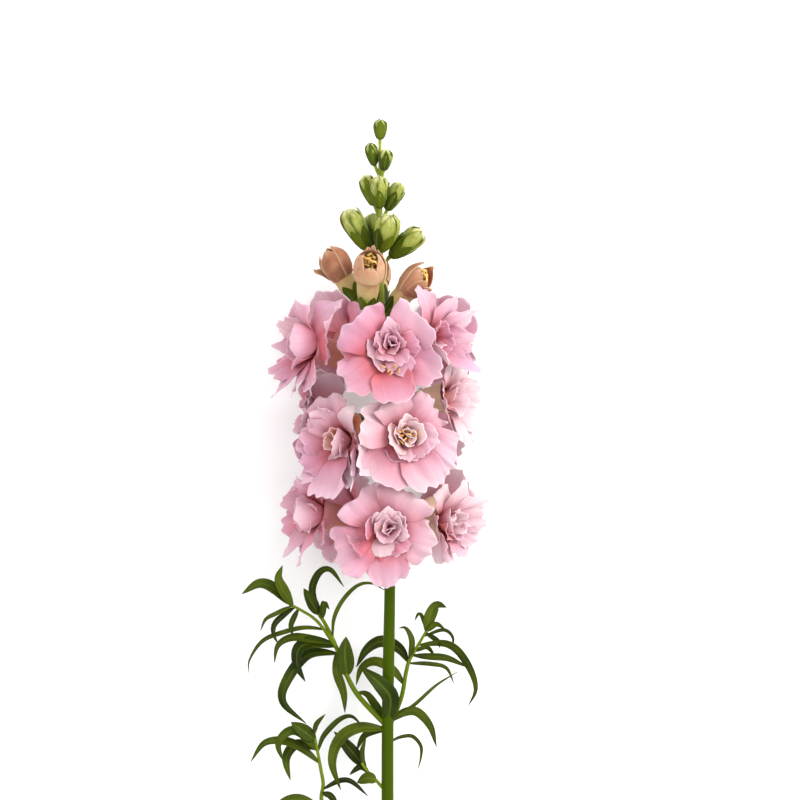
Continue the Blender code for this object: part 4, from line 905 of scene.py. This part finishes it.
def leaf_material(name, painted_lit_green, dark, midrib, midrib_strength=0.45):
    """A leaf: its own shade of green, painted as a lit green and a shaded green mixed in soft patches, which
    is painted light and shade, with a light midrib, long faint veins and a soft gloss.
    """
    n = Nodes(
        name,
        Specular_IOR_Level=0.07,
        Subsurface_Weight=0.12,
        Subsurface_Radius=(0.5, 1.0, 0.2),
        Subsurface_Scale=0.001,
    )
    across = n.math("ABSOLUTE", n.value("across"))
    cloud = n.noise(60.0, 4.0)
    # Painted light and shade: a lit green and a shaded green, mixed in noisy patches
    colour = n.mix(n.ramp(cloud, ((0.3, 0.0), (0.7, 1.0))), dark, painted_lit_green)
    own = ((0.0, (0.58, 0.62, 0.6)), (0.5, (0.9, 0.9, 0.9)), (1.0, (1.9, 1.7, 1.5)))
    colour = n.shaded(colour, 1.0, n.value("tint"), own)
    veins = n.ramp(n.math("PINGPONG", n.times(across, 7.0), 1.0), ((0.0, 1.0), (0.3, 0.0)))
    colour = n.mix(n.times(veins, 0.12), colour, midrib)
    rib = n.ramp(across, ((0.0, midrib_strength), (0.10, 0.7 * midrib_strength), (0.2, 0.0)))
    colour = n.mix(rib, colour, midrib)
    height = n.plus(n.noise(500.0, 3.0), n.times(veins, -0.8))
    return n.finish(colour, height, 0.25, 0.0004, n.ramp(cloud, ((0.3, 0.36), (0.8, 0.5))))


def stalk_material(name, low, high, roughness=0.42, turns_at=(0.05, 1.0)):
    """A green stalk: one green low down and a lighter one high up, finely streaked along its length."""
    n = Nodes(name, Roughness=roughness, Specular_IOR_Level=0.04, Subsurface_Weight=0.1)
    streaks = n.streaks(3.0, 22.0, 14.0)
    stops = ((turns_at[0], low), (turns_at[1], high))
    colour = n.ramp(n.plus(n.value("along"), n.times(streaks, 0.16)), stops)
    colour = n.shaded(colour, 0.35, streaks, ((0.3, 0.62), (0.7, 1.0)))
    return n.finish(colour, streaks, 0.2, 0.0004)


def bud_material():
    """A green bud: yellow-green, paler at its folded end, with painted shade in the folds and on the sides
    and edges of its lips.
    """
    n = Nodes("bud", Roughness=0.45, Specular_IOR_Level=0.12, Subsurface_Weight=0.25)
    along = n.value("along")
    stops = (
        (0.15, (0.08, 0.12, 0.008)),
        (0.5, (0.22, 0.255, 0.035)),
        (0.8, (0.36, 0.37, 0.09)),
        (1.0, (0.54, 0.52, 0.22)),
    )
    colour = n.ramp(n.plus(along, n.swing(n.noise(260.0, 3.0), 0.7)), stops)
    veins = n.streaks(3.0, 14.0, 3.0)
    colour = n.shaded(colour, 0.7, veins, ((0.3, (0.50, 0.60, 0.35)), (0.6, WHITE)))
    # Painted shade: darker towards the sides of each fold and lip, where they fold and overlap
    across = n.math("ABSOLUTE", n.value("across"))
    colour = n.shaded(colour, 0.8, across, ((0.55, WHITE), (1.0, (0.42, 0.52, 0.22))))
    colour = n.mix(n.ramp(along, ((0.86, 0.0), (0.96, 0.6))), colour, (0.60, 0.58, 0.28))
    # Painted shade: darker in the fold creases and along the lips' edges, from the edge value
    colour = n.shaded(colour, 0.6, n.value("edge"), ((0.0, WHITE), (1.0, (0.45, 0.5, 0.3))))
    return n.finish(colour, veins, 0.5, 0.0008)


def peach_material():
    """A half-open bud: cream tube, and a peach head with veins, brown blotches and light rims."""
    n = Nodes("peach", Roughness=0.5, Specular_IOR_Level=0.10, Subsurface_Weight=0.3)
    stops = (
        (0.0, (0.36, 0.36, 0.10)),
        (0.22, (0.53, 0.45, 0.18)),
        (0.46, (0.54, 0.41, 0.19)),
        (0.60, (0.53, 0.29, 0.15)),
        (0.85, (0.46, 0.23, 0.125)),
        (1.0, (0.30, 0.10, 0.05)),
    )
    colour = n.ramp(n.plus(n.value("along"), n.swing(n.noise(170.0, 4.0), 0.8)), stops)
    colour = n.shaded(colour, 1.0, n.noise(110.0, 2.0), ((0.42, WHITE), (0.66, (0.92, 0.74, 0.78))))
    veins = n.streaks(3.0, 26.0, 3.0)
    colour = n.shaded(colour, 0.6, veins, ((0.3, (0.66, 0.50, 0.44)), (0.65, WHITE)))
    colour = n.mix(n.times(n.value("pale"), n.noise(140.0, 2.0)), colour, (0.66, 0.47, 0.30))
    blotches = n.ramp(n.noise(120.0, 3.0), ((0.3, 0.3), (0.6, 1.0)))
    colour = n.mix(n.times(n.value("warm"), blotches), colour, (0.22, 0.085, 0.05))
    colour = n.mix(n.times(n.value("edge"), 0.6), colour, (0.62, 0.42, 0.25))
    return n.finish(colour, veins, 0.4, 0.0006)


def stamen_material():
    """Stamens: from peach to gold, by the value that each is given, with a fine grain."""
    n = Nodes("stamen", Roughness=0.5, Specular_IOR_Level=0.3, Subsurface_Weight=0.2, Subsurface_Scale=0.001)
    grain = n.noise(2500.0, 2.0)
    golds = ((0.3, (0.66, 0.36, 0.20)), (0.6, (0.62, 0.30, 0.09)), (1.0, (0.78, 0.52, 0.14)))
    colour = n.shaded(n.ramp(n.value("along"), golds), 0.5, grain, ((0.35, 0.6), (0.65, 1.0)))
    return n.finish(colour, grain, 0.5, 0.0003)


def floor_material():
    """A plain pale floor with the faintest unevenness."""
    n = Nodes("floor", Roughness=0.8)
    return n.finish(n.ramp(n.noise(3.0, 2.0), ((0.3, 0.90), (0.7, 0.93))))


# Petals and blooms


def petal_rim(petal, v, p):
    """How far each column of a petal reaches, as a share of its length: rounded sides and uneven lobes."""
    lobes = sum(height * np.sin(rate * v + start) for (height, rate), start in zip(RIM_LOBES, p))
    lobes = lobes * (0.6 + 0.6 * petal.ruffle)
    return 1.0 - petal.rounding * np.abs(v) ** RIM_SHAPE + lobes + petal.point * (1 - np.abs(v)) ** 2


def petal_line(petal):
    """A petal's middle line: stations along it, and how far out, forward and bent over it is there."""
    stations = np.linspace(0, LINE_END, LINE_POINTS)
    angles = np.radians(np.interp(stations, np.linspace(0, 1, len(petal.bends)), petal.bends))
    step = petal.length * (stations[1] - stations[0])
    outs = petal.root + step * np.append(0.0, np.cumsum((np.sin(angles[1:]) + np.sin(angles[:-1])) / 2))
    forwards = step * np.append(0.0, np.cumsum((np.cos(angles[1:]) + np.cos(angles[:-1])) / 2))
    return stations, outs, forwards, angles


def petal_ruffles(petal, u, v, p):
    """How far a petal's surface waves to either side, and more so towards its rim."""
    wave = np.sin(2.6 * v + p[5]) * u**2 + np.sin(5.5 * u + p[6]) * v * np.abs(v) * u
    frill = np.sin(8.5 * v + p[7] + np.sin(3.0 * v + p[8])) * u**4 + 0.45 * np.sin(17.0 * v + p[9]) * u**8
    flank = np.sin(12.0 * u + p[10]) * v**3 * u
    pleat = np.sin(6.5 * v + p[11]) * np.sin(math.pi * u) ** 2
    return wave + min(1.0, petal.half / FRILL_FROM) * FRILL * (frill + flank) + PLEAT * pleat


def petal_surface(petal, rng, rows, columns):
    """Points of a petal in its bloom's frame, where +Z is the way that the bloom faces, and their values."""
    u, v = np.meshgrid(np.linspace(0, 1, rows), np.linspace(-1, 1, columns), indexing="ij")
    p = [rng.uniform(0, TURN) for _ in range(PETAL_DRAWS)]
    share = u * petal_rim(petal, v, p)
    stations, outs, forwards, angles = petal_line(petal)
    out, forward = np.interp(share, stations, outs), np.interp(share, stations, forwards) - PETAL_ROOT_DEPTH
    tangent = np.interp(share, stations, angles)
    spread = ROOT_WIDTH + (1.0 - ROOT_WIDTH) * np.sin(0.5 * math.pi * np.minimum(u * WIDENING, 1.0))
    uneven = 1 + 0.05 * np.sin(6.0 * u + p[3]) + 0.03 * np.sin(13.0 * u + p[4]) * u
    side = petal.half * spread * v * uneven
    cup = petal.cup[0] + (petal.cup[1] - petal.cup[0]) * u
    cup = np.where(np.abs(cup) < LEAST_CUP, LEAST_CUP, cup)
    across = np.sin(cup * side) / cup
    lift = (1 - np.cos(cup * side)) / cup + petal.ruffle * petal_ruffles(petal, u, v, p) + petal.twist * side
    out, forward = out - lift * np.cos(tangent), forward + lift * np.sin(tangent)
    turned = np.radians(petal.angle + petal.sweep * share**2)
    x = out * np.cos(turned) - across * np.sin(turned) + petal.at[0]
    y = out * np.sin(turned) + across * np.cos(turned) + petal.at[1]
    # edge: the light rim, which the petal material paints partly as a highlight
    to_rim = np.minimum((1 - u) * petal.length, (1 - np.abs(v)) * petal.half * spread + 0.8 * (1 - u))
    along = share * (0.55 + 0.45 * petal.length / THROAT_SCALE) - petal.deep
    values = {"along": along, "across": v, "edge": np.exp(-to_rim / EDGE_WIDTH) * u, "tint": rng.random()}
    return np.stack([x, y, forward], axis=-1), values


class Bloom:
    """Where one bloom stands: its pedicel, its tube, and the frame of its face, which faces +Z there."""

    def __init__(self, azimuth, face_y, reach, size, roll, nod, pale):
        turn, tilt, spin = math.radians(azimuth), math.radians(nod), math.radians(roll)
        out = np.array([math.sin(turn), 0.0, math.cos(turn)])
        tipward = np.array([0.0, 1.0, 0.0])
        self.size, self.pale = size, pale
        self.root = stem_at(face_y - MOUTH_RISE)
        self.mouth = stem_at(face_y) + reach * out
        self.facing = unit(math.cos(tilt) * out + math.sin(tilt) * tipward)
        up = unit(tipward - (tipward @ self.facing) * self.facing)
        right = np.cross(up, self.facing)
        self.right = math.cos(spin) * right + math.sin(spin) * up
        self.up = np.cross(self.facing, self.right)
        self.tube_axis = unit(self.mouth - self.root)
        self.seat = self.root + self.tube_axis * PEDICEL_LENGTH
        self.centre = self.mouth + FACE_DEPTH * self.facing

    def place(self, local):
        """Local points of the face, in the part's plan."""
        basis = np.stack([self.right, self.up, self.facing])
        return self.mouth + (local * self.size) @ basis


def press(points, origin, normal, facing, margin, reach, bend):
    """Eases points back from a plane so that none comes within the margin, bent along it towards facing."""
    depth = (points - origin) @ normal
    span = reach - margin
    eased = np.where(depth < reach, margin + span * np.exp(np.minimum(depth - reach, 0.0) / span), depth)
    along = facing - (facing @ normal) * normal
    along = along / max(np.linalg.norm(along), LEAST_LENGTH)
    return points + (eased - depth)[..., None] * (normal + bend * along)


def separating_planes(bloom, blooms):
    """A plane between this bloom and each near one, tilted so that one of the two lies over the other.

    Of two rows the one nearer the tip lies over, and in one row the bloom that is higher up.
    """
    planes = []
    for other in blooms:
        gap = bloom.centre - other.centre
        if other is bloom or np.linalg.norm(gap) > NEIGHBOUR_RANGE:
            continue
        overlap, side = (ROW_OVERLAP, gap[1]) if abs(gap[1]) > ROW_STEP else (SIDE_OVERLAP, gap[2])
        outward = unit(bloom.facing + other.facing)
        normal = unit(unit(gap) + overlap * math.copysign(1.0, side) * outward)
        share = bloom.size**3 / (bloom.size**3 + other.size**3)
        planes.append((bloom.centre - share * gap, normal))
    return planes


def keep_clear(points, bloom, blooms, lowest):
    """Bends petals clear of the neighbouring blooms and of the surface."""
    up = np.array([0.0, 0.0, 1.0])
    for bend in (PRESS_BEND, 0.0):
        for origin, normal in separating_planes(bloom, blooms):
            slide = math.copysign(bend, bloom.facing @ normal)
            points = press(points, origin, normal, bloom.facing, NEIGHBOUR_MARGIN, NEIGHBOUR_REACH, slide)
        points = press(points, np.zeros(3), up, bloom.facing, lowest, lowest + SURFACE_REACH, bend)
    return points


def tube_radius(along):
    """Radius of a bloom's tube, that far from its base."""
    swell = np.sin(0.5 * math.pi * np.clip(along / TUBE_SWELL_LENGTH, 0.0, 1.0))
    return TUBE_BASE_RADIUS + (TUBE_RADIUS - TUBE_BASE_RADIUS) * swell


def varied_petal(petal, rng):
    """The petal with its own small differences in angle, length and bend."""
    more = rng.uniform(-BEND_SPREAD, BEND_SPREAD)
    bends = tuple(bend + more * k / (len(petal.bends) - 1) for k, bend in enumerate(petal.bends))
    angle = petal.angle + rng.uniform(-ANGLE_SPREAD, ANGLE_SPREAD)
    return replace(petal, angle=angle, length=petal.length * rng.uniform(0.94, 1.06), bends=bends)


def tube_skin(skin, bloom):
    """The tube of a bloom: an open, faintly ribbed sleeve."""
    length = float(np.linalg.norm(bloom.mouth - bloom.seat)) + TUBE_OVERHANG
    stations, turns = np.linspace(0, 1, TUBE_ROWS), np.linspace(0, TURN, TUBE_COLUMNS)
    along, turn = np.meshgrid(stations, turns, indexing="ij")
    radius = (tube_radius(along * length) + TUBE_FLARE * along**6) * (1 + 0.035 * np.cos(LOBES * turn))
    grid = round_axis(bloom.seat, bloom.tube_axis, along * length, radius, turn)
    skin.blade(grid, TUBE_WALL, 1, along=along, across=np.cos(LOBES * turn), pale=bloom.pale)


def bloom_skin(name, bloom, blooms, seed):
    """One bloom: its tube, its petals and the stamens that show."""
    rng = random.Random(seed)
    skin = Skin()
    tube_skin(skin, bloom)
    lowest = RESTING_MARGIN if bloom.facing[2] < -0.5 else SURFACE_MARGIN
    own = OWN_PETALS.get(name)
    large, small = OWN_GRIDS if own else USUAL_GRIDS
    for petal in own or [varied_petal(usual, rng) for usual in USUAL_PETALS]:
        rows, columns = large if petal.length * petal.half > LARGE_PETAL else small
        local, values = petal_surface(petal, rng, rows, columns)
        # Painted light: petals rooted near the middle are made paler to lift the shade in the bloom's hollow
        inner_painted_light = INNER_PAINTED_LIGHT if petal.root < INNER_ROOT else 0.0
        values["pale"] = max(0.0, bloom.pale + petal.pale + inner_painted_light + rng.uniform(-0.1, 0.2))
        values["warm"] = petal.warm
        grid = keep_clear(bloom.place(local), bloom, blooms, lowest)
        thickness = PETAL_ROOT_THICKNESS - PETAL_THINNING * np.clip(values["along"], 0, 1)
        skin.blade(grid, thickness, 0, **values)
    for x, y in OWN_STAMENS.get(name, ()):
        middle = bloom.place(np.array([(x, y, rng.uniform(4.5, 7.0))]))[0]
        golden_curl(skin, middle, bloom.facing, rng.uniform(2.0, 3.2), 0.4, rng, 2, rng.uniform(0.3, 0.8))
    return skin


def dress(name, skin, materials, node):
    """Makes the piece, which replaces its node and rides on the part's one body."""
    piece = skin.made(name, materials)
    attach(piece, "root")
    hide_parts(node)
    return piece


def dress_blooms():
    """Every open bloom."""
    materials = [petal_material(), tube_material(), stamen_material()]
    blooms = {name: Bloom(*facts) for name, facts in BLOOMS.items()}
    near = list(blooms.values())
    for seed, (name, bloom) in enumerate(blooms.items()):
        dress("petals_" + name, bloom_skin(name, bloom, near, seed), materials, "bloom_" + name)


# Calyces and buds


@dataclass
class Wrap:
    """How a lobe round a bud is made: its grid, its thickness, its waves and whether it ends in a point."""

    rows: int
    columns: int
    thickness: float
    wave: float = 0.18
    pointed: bool = False


SEPAL_WRAP = Wrap(12, 9, 0.3, pointed=True)
BUD_SEPAL_WRAP = Wrap(16, 11, 0.3, pointed=True)
PEACH_WRAP = Wrap(26, 19, 0.4, 0.12)
LIP_WRAP = Wrap(18, 17, 0.28, 0.3)
CLOSED_LIP_WRAP = Wrap(18, 17, 0.28, 0.15)


def wrap(skin, place, radius_at, lobe, kind, slot, along=(0.0, 1.0), **values):
    """A lobe that hugs a bud: a thin blade in heights and turns round the bud's axis."""
    (seat, axis), (turn, half_turn, start, end, lift, curl) = place, lobe
    u, v = np.meshgrid(np.linspace(0, 1, kind.rows), np.linspace(-1, 1, kind.columns), indexing="ij")
    if kind.pointed:
        share = np.sin(math.pi * (0.26 + 0.74 * u)) ** 0.85
    else:
        share = np.sqrt(np.maximum(1.0 - u**3, 0.004))
    height = start + (end - start) * u * (1 + 0.35 * kind.wave * np.sin(4.0 * v + turn))
    angle = math.radians(turn) + v * math.radians(half_turn) * share
    waves = np.sin(3 * v + turn) + 0.6 * np.sin(7.0 * v + 5.0 * u + turn) * u
    radius = radius_at(height) + lift + curl * u**3.2 + kind.wave * waves * u
    grid = round_axis(seat, axis, height, radius, angle)
    edge = np.maximum(np.abs(v) ** 8, u**10)
    tone = along[0] + (along[1] - along[0]) * u
    skin.blade(grid, kind.thickness, slot, along=tone, across=v, edge=edge, **values)


def bud_axis(seat, end):
    """Seat, axis and length of a bud."""
    seat, end = np.array(seat), np.array(end)
    return seat, unit(end - seat), float(np.linalg.norm(end - seat))


def profile_radius(profile, length, radius):
    """Radius along a bud, as a function of the distance from its seat, through a smooth line."""
    heights, radii = smooth_line(profile, 60).T
    return lambda height: np.interp(height / length, heights, radii) * radius


def stalk(skin, line, radii, sides=12, **values):
    """A round stalk along a line of points."""
    line = np.asarray(line, float)
    along = np.linspace(0, 1, len(line))[:, None]
    across = np.cos(np.linspace(0, TURN, sides, endpoint=False))[None, :]
    skin.tube(rings(line, radii, sides), 0, **{"along": along, "across": across, **values})


def calyx(skin, root, place, radius_at, tip, stalk_radius, seed):
    """A pedicel from the stem and five pointed sepals round what is seated on it."""
    seat, axis = place
    rng = random.Random(seed)
    foot = seat - CALYX_DEPTH * axis
    line = smooth_line([root, root + (foot - root) * 0.5, foot], PEDICEL_RINGS)
    stalk(skin, line, np.full(PEDICEL_RINGS, stalk_radius), along=0.7)
    base = float(radius_at(0.0))
    heights = np.array([-2.3, -1.7, -1.0, -0.3, 0.5])
    radii = [stalk_radius, stalk_radius * 1.25, base * 0.75, base + 0.35, base + 0.5]
    stalk(skin, seat + heights[:, None] * axis, radii, 20, along=0.5)
    for index in range(LOBES):
        reach = tip * rng.uniform(0.9, 1.05)
        lobe = (LOBE_TURN * index + 54, 42, -0.5, reach, 0.3 + 0.1 * (index % 2), rng.uniform(-0.1, 0.5))
        wrap(skin, place, radius_at, lobe, SEPAL_WRAP, 1, tint=rng.random())


def golden_curl(skin, middle, facing, length, half, rng, slot, gold):
    """A short bent strip of a stamen, turned at random."""
    first, second = side_axes(facing)
    turn = rng.uniform(0, TURN)
    aside = math.cos(turn) * first + math.sin(turn) * second
    tip = middle + length * (0.5 * aside + rng.uniform(-0.1, 0.4) * facing)
    tail = middle - length * (0.5 * aside + 0.3 * facing)
    bend = middle + rng.uniform(0.1, 0.4) * length * facing
    line = smooth_line([tail, bend, tip], len(CURL_SHAPE))
    width = unit(np.cross(aside, facing) + rng.uniform(-0.5, 0.5) * facing)
    v = np.linspace(-1, 1, CURL_COLUMNS)
    shape = half * np.array(CURL_SHAPE)
    grid = line[:, None] + (shape[:, None] * v)[..., None] * width
    grid = grid + (0.5 * half * np.cos(2.5 * v))[None, :, None] * facing
    skin.blade(grid, CURL_THICKNESS, slot, along=gold, across=v)


def peach_skin(name, seat, end, radius):
    """A half-open bud: a cream tube, folded lobes round its mouth, and golden stamens in it."""
    seat, axis, length = bud_axis(seat, end)
    skin = Skin()
    rng = random.Random(len(name))
    tube_at = profile_radius(PEACH_TUBE, length, radius)
    height, turn = np.meshgrid(np.linspace(0, 0.8, 22), np.linspace(0, TURN, 41), indexing="ij")
    around = tube_at(height * length) * (1 + 0.03 * np.cos(LOBES * turn) + 0.02 * np.cos(3 * turn + 1))
    grid = round_axis(seat, axis, height * length, around, turn)
    skin.blade(grid, TUBE_WALL, 0, along=height, across=np.cos(LOBES * turn), tint=rng.random())
    head_at = profile_radius(PEACH_HEAD, length, HEAD_SHARE * radius)
    pale, warm = PEACH_TONES[name]
    for turn, half_turn, start, stop, lift, curl in PEACH_LOBES[name]:
        lobe = (turn, half_turn, start * length, stop * length, lift, curl)
        tones = (start + 0.05, stop + 0.05)
        wrap(skin, (seat, axis), head_at, lobe, PEACH_WRAP, 0, tones, pale=pale, warm=warm)
    first, second = side_axes(axis)
    for _ in range(PEACH_STAMENS):
        turn = rng.uniform(0, TURN)
        off = 0.52 * radius * math.sqrt(rng.random()) * (math.cos(turn) * first + math.sin(turn) * second)
        middle = seat + rng.uniform(0.72, 0.88) * length * axis + off
        golden_curl(skin, middle, axis, rng.uniform(2.6, 4.4), 0.75, rng, 1, rng.uniform(0.6, 1.0))
    return skin


def green_skin(seat, end, radius, lips):
    """A closed bud, folded and with its lips laid round it, and where it is seated and how large it is."""
    seat, axis, length = bud_axis(seat, end)
    place = (seat, axis)
    skin = Skin()
    radius_at = profile_radius(GREEN_PROFILE, length, radius)
    turns = np.linspace(0, TURN, 40, endpoint=False)
    height, turn = np.meshgrid(np.linspace(0, 1, 30), turns, indexing="ij")
    folds = np.cos(LOBES * (turn + 0.5 * height))
    around = radius_at(height * length) * 0.94 * (1 + 0.08 * folds * (0.3 + height))
    grid = round_axis(seat, axis, height * length, around, turn)
    # Painted shade in the creases between the folds, passed on to the bud material as its edge value
    dark = np.exp(-((folds + 1) / 0.3)) * (0.3 + height)
    skin.tube(grid, 0, along=height, across=np.cos(LOBES * turn), edge=np.minimum(dark, 1.0))
    rng = random.Random(round(length * 100))
    loose = lips > LOOSE_LIPS
    for index in range(LOBES if loose else CLOSED_LIPS):
        turn = LOBE_TURN * index + rng.uniform(-16, 16) + 40
        stop = rng.uniform(0.78, 1.03) if loose else rng.uniform(0.7, 0.98)
        curl = lips * rng.uniform(0.0, 1.3)
        lobe = (turn, rng.uniform(34, 46), 0.3 * length, stop * length, -0.1 + 0.16 * (index % 3), curl)
        kind = LIP_WRAP if loose else CLOSED_LIP_WRAP
        wrap(skin, place, radius_at, lobe, kind, 0, (0.35, 0.95), tint=rng.random())
    return skin, place, radius_at, length


def sepals_on(skin, place, radius_at, reach, seed):
    """Five sepals hard against a bud."""
    rng = random.Random(seed)
    for index in range(LOBES):
        end = reach * rng.uniform(0.92, 1.04)
        lobe = (LOBE_TURN * index + 20, 42, 0.0, end, 0.12 + 0.14 * (index % 2), rng.uniform(-0.1, 0.35))
        wrap(skin, place, radius_at, lobe, BUD_SEPAL_WRAP, 1, tint=rng.random())


def dress_peach_buds(carried):
    """The half-open buds, and their calyces in the mesh of all that carries buds and blooms."""
    materials = [peach_material(), stamen_material()]
    for index, (name, (root_y, seat, end, radius)) in enumerate(PEACH_BUDS.items()):
        skin = peach_skin(name, seat, end, radius)
        dress("bud_peach_dressed_" + name, skin, materials, "bud_peach_" + name)
        at, axis, length = bud_axis(seat, end)
        radius_at = profile_radius(PEACH_TUBE, length, radius)
        calyx(carried, stem_at(root_y), (at, axis), radius_at, PEACH_SEPALS, PEDICEL_RADIUS, index)


def dress_green_buds(carried, sepal):
    """The closed buds: the lower ones in calyces, the upper ones in sepals that are part of their pieces."""
    materials = [bud_material(), sepal]
    for index, (name, (root_y, seat, end, radius, cover, lips)) in enumerate(GREEN_BUDS.items()):
        skin, place, radius_at, length = green_skin(seat, end, radius, lips)
        if name in LOWER_GREEN:
            calyx(carried, stem_at(root_y), place, radius_at, GREEN_SEPALS, GREEN_PEDICEL_RADIUS, index)
        else:
            sepals_on(skin, place, radius_at, cover * length, index)
            foot = place[0] + 0.6 * place[1]
            start = stem_at(root_y) - np.array([0.0, 1.0, 0.0])
            line = smooth_line([start, (start + foot) / 2, foot], 7)
            stalk(carried, line, np.full(7, GREEN_PEDICEL_RADIUS), 10, along=1.0)
        dress("bud_green_dressed_" + name, skin, materials, "bud_green_" + name)


def dress_buds():
    """The peach buds and the green ones, and the calyces and pedicels that carry buds and blooms."""
    # The sepal's first two greens are painted light and painted shade
    sepal = leaf_material("sepal", (0.085, 0.12, 0.006), (0.035, 0.05, 0.003), (0.13, 0.17, 0.015), 0.5)
    pedicel = stalk_material("pedicel", (0.08, 0.12, 0.008), (0.25, 0.31, 0.04))
    carried = Skin()
    dress_peach_buds(carried)
    dress_green_buds(carried, sepal)
    for index, facts in enumerate(BLOOMS.values()):
        bloom = Bloom(*facts)
        place = (bloom.seat, bloom.tube_axis)
        calyx(carried, bloom.root, place, tube_radius, SEPALS, PEDICEL_RADIUS, 50 + index)
    dress("calyces", carried, [pedicel, sepal], "stem")


# Leaves and stems


def leaf_blade(skin, parent, width, roll, rise, end, points, seed):
    """A lance-shaped leaf along its points, folded on its midrib, rooted on the line it grows from."""
    parent = np.asarray(parent)
    gaps = np.linalg.norm(parent[:, :2] - np.array(points[0]), axis=1)
    root = parent[gaps.argmin(), :3]
    plan = smooth_line((tuple(root[:2]), *points[1:]), 61)
    steps = np.linalg.norm(np.diff(plan, axis=0), axis=1)
    stations = np.append(0.0, np.cumsum(steps)) / steps.sum()
    heights = root[2] + 4 * rise * stations * (1 - stations) + end * stations
    line = np.column_stack([plan, heights])
    tangents = np.gradient(line, stations, axis=0)
    rng = random.Random(seed)
    rows = int(np.clip(steps.sum() * 0.8, 18, 48))
    u, v = np.meshgrid(np.linspace(0, 1, rows), np.linspace(-1, 1, LEAF_COLUMNS), indexing="ij")
    centre = np.stack([np.interp(u, stations, line[:, k]) for k in range(3)], axis=-1)
    tangent = np.stack([np.interp(u, stations, tangents[:, k]) for k in range(3)], axis=-1)
    flat = np.cross([0.0, 0.0, 1.0], tangent)
    flat = flat / np.linalg.norm(flat, axis=-1, keepdims=True)
    raised = np.cross(tangent, flat)
    raised = raised / np.linalg.norm(raised, axis=-1, keepdims=True)
    tilt = math.radians(roll)
    side = math.cos(tilt) * flat + math.sin(tilt) * raised
    face = math.cos(tilt) * raised - math.sin(tilt) * flat
    half = np.maximum(width / 2 * np.sin(math.pi * u**0.8) ** 0.8, 0.5 - 0.42 * u)
    phase = rng.uniform(0, TURN)
    fold = (0.34 * np.abs(v) + 0.10 * v**2 * np.sin(7.0 * u + phase)) * half
    grid = centre + (v * half)[..., None] * side + fold[..., None] * face
    thickness = (0.55 - 0.22 * np.abs(v)) * (1.15 - 0.5 * u)
    skin.blade(grid, thickness, 1, along=u, across=v, tint=rng.random())


def shoot_skin(branches):
    """A leafy shoot: its stems and their leaves."""
    skin = Skin()
    for route, radii, leaves in branches:
        line = smooth_line(route, 12 * len(route))
        stalk(skin, line, np.linspace(radii[0], radii[1], len(line)), 14)
        for index, leaf in enumerate(leaves):
            leaf_blade(skin, line, *leaf, seed=index + len(leaves))
    return skin


def dress_stems():
    """The main stem with its leaves, and the leafy shoots."""
    # The leaf's first two greens are painted light and painted shade
    leaf = leaf_material("leaf", (0.048, 0.072, 0.003), (0.012, 0.021, 0.001), (0.10, 0.145, 0.012))
    stem = stalk_material("stem", (0.042, 0.072, 0.0005), (0.30, 0.36, 0.05), 0.26, (0.60, 0.92))
    shoot = stalk_material("shoot", (0.085, 0.135, 0.005), (0.14, 0.20, 0.01))
    skin = Skin()
    stalk(skin, STEM_LINE[:, :3], STEM_LINE[:, 3], 32)
    for index, facts in enumerate(STEM_LEAVES):
        leaf_blade(skin, STEM_LINE, *facts, seed=index)
    dress("stem_dressed", skin, [stem, leaf], "stem")
    for name, branches in SHOOTS.items():
        dress("shoot_dressed_" + name, shoot_skin(branches), [shoot, leaf], "shoot_" + name)


# Studio


def make_camera():
    """A camera straight above, which takes in the width of the photograph."""
    data = bpy.data.cameras.new("camera")
    data.sensor_width = SENSOR
    data.lens = SENSOR * CAMERA_DISTANCE / VIEW_WIDTH
    data.clip_end = CLIP_END
    camera = bpy.data.objects.new("camera", data)
    place = np.array([*VIEW_CENTRE, FOCUS_HEIGHT + CAMERA_DISTANCE]) + SHIFT
    camera.location = Vector(place * MM)
    bpy.context.scene.collection.objects.link(camera)
    bpy.context.scene.camera = camera


def make_light(name, place, size, power):
    """A square soft light that shines at the middle of the spike."""
    data = bpy.data.lights.new(name, "AREA")
    data.size = size
    data.energy = power
    lamp = bpy.data.objects.new(name, data)
    lamp.location = place
    lamp.rotation_euler = (Vector(KEY_TARGET) - lamp.location).to_track_quat("-Z", "Y").to_euler()
    bpy.context.scene.collection.objects.link(lamp)


def make_studio():
    """Floor, world and light."""
    bpy.ops.mesh.primitive_plane_add(size=FLOOR_SIZE)
    floor = bpy.context.object
    floor.name = "floor"
    floor.data.materials.append(floor_material())
    world = bpy.data.worlds.new("world")
    world.use_nodes = True
    background = world.node_tree.nodes["Background"].inputs
    background["Color"].default_value = (*WHITE, 1.0)
    background["Strength"].default_value = WORLD_LIGHT
    bpy.context.scene.world = world
    make_light("key", KEY_PLACE, KEY_SIZE, KEY_POWER)
    bpy.context.scene.view_settings.view_transform = "Standard"


make_camera()
make_studio()
dress_blooms()
dress_buds()
dress_stems()
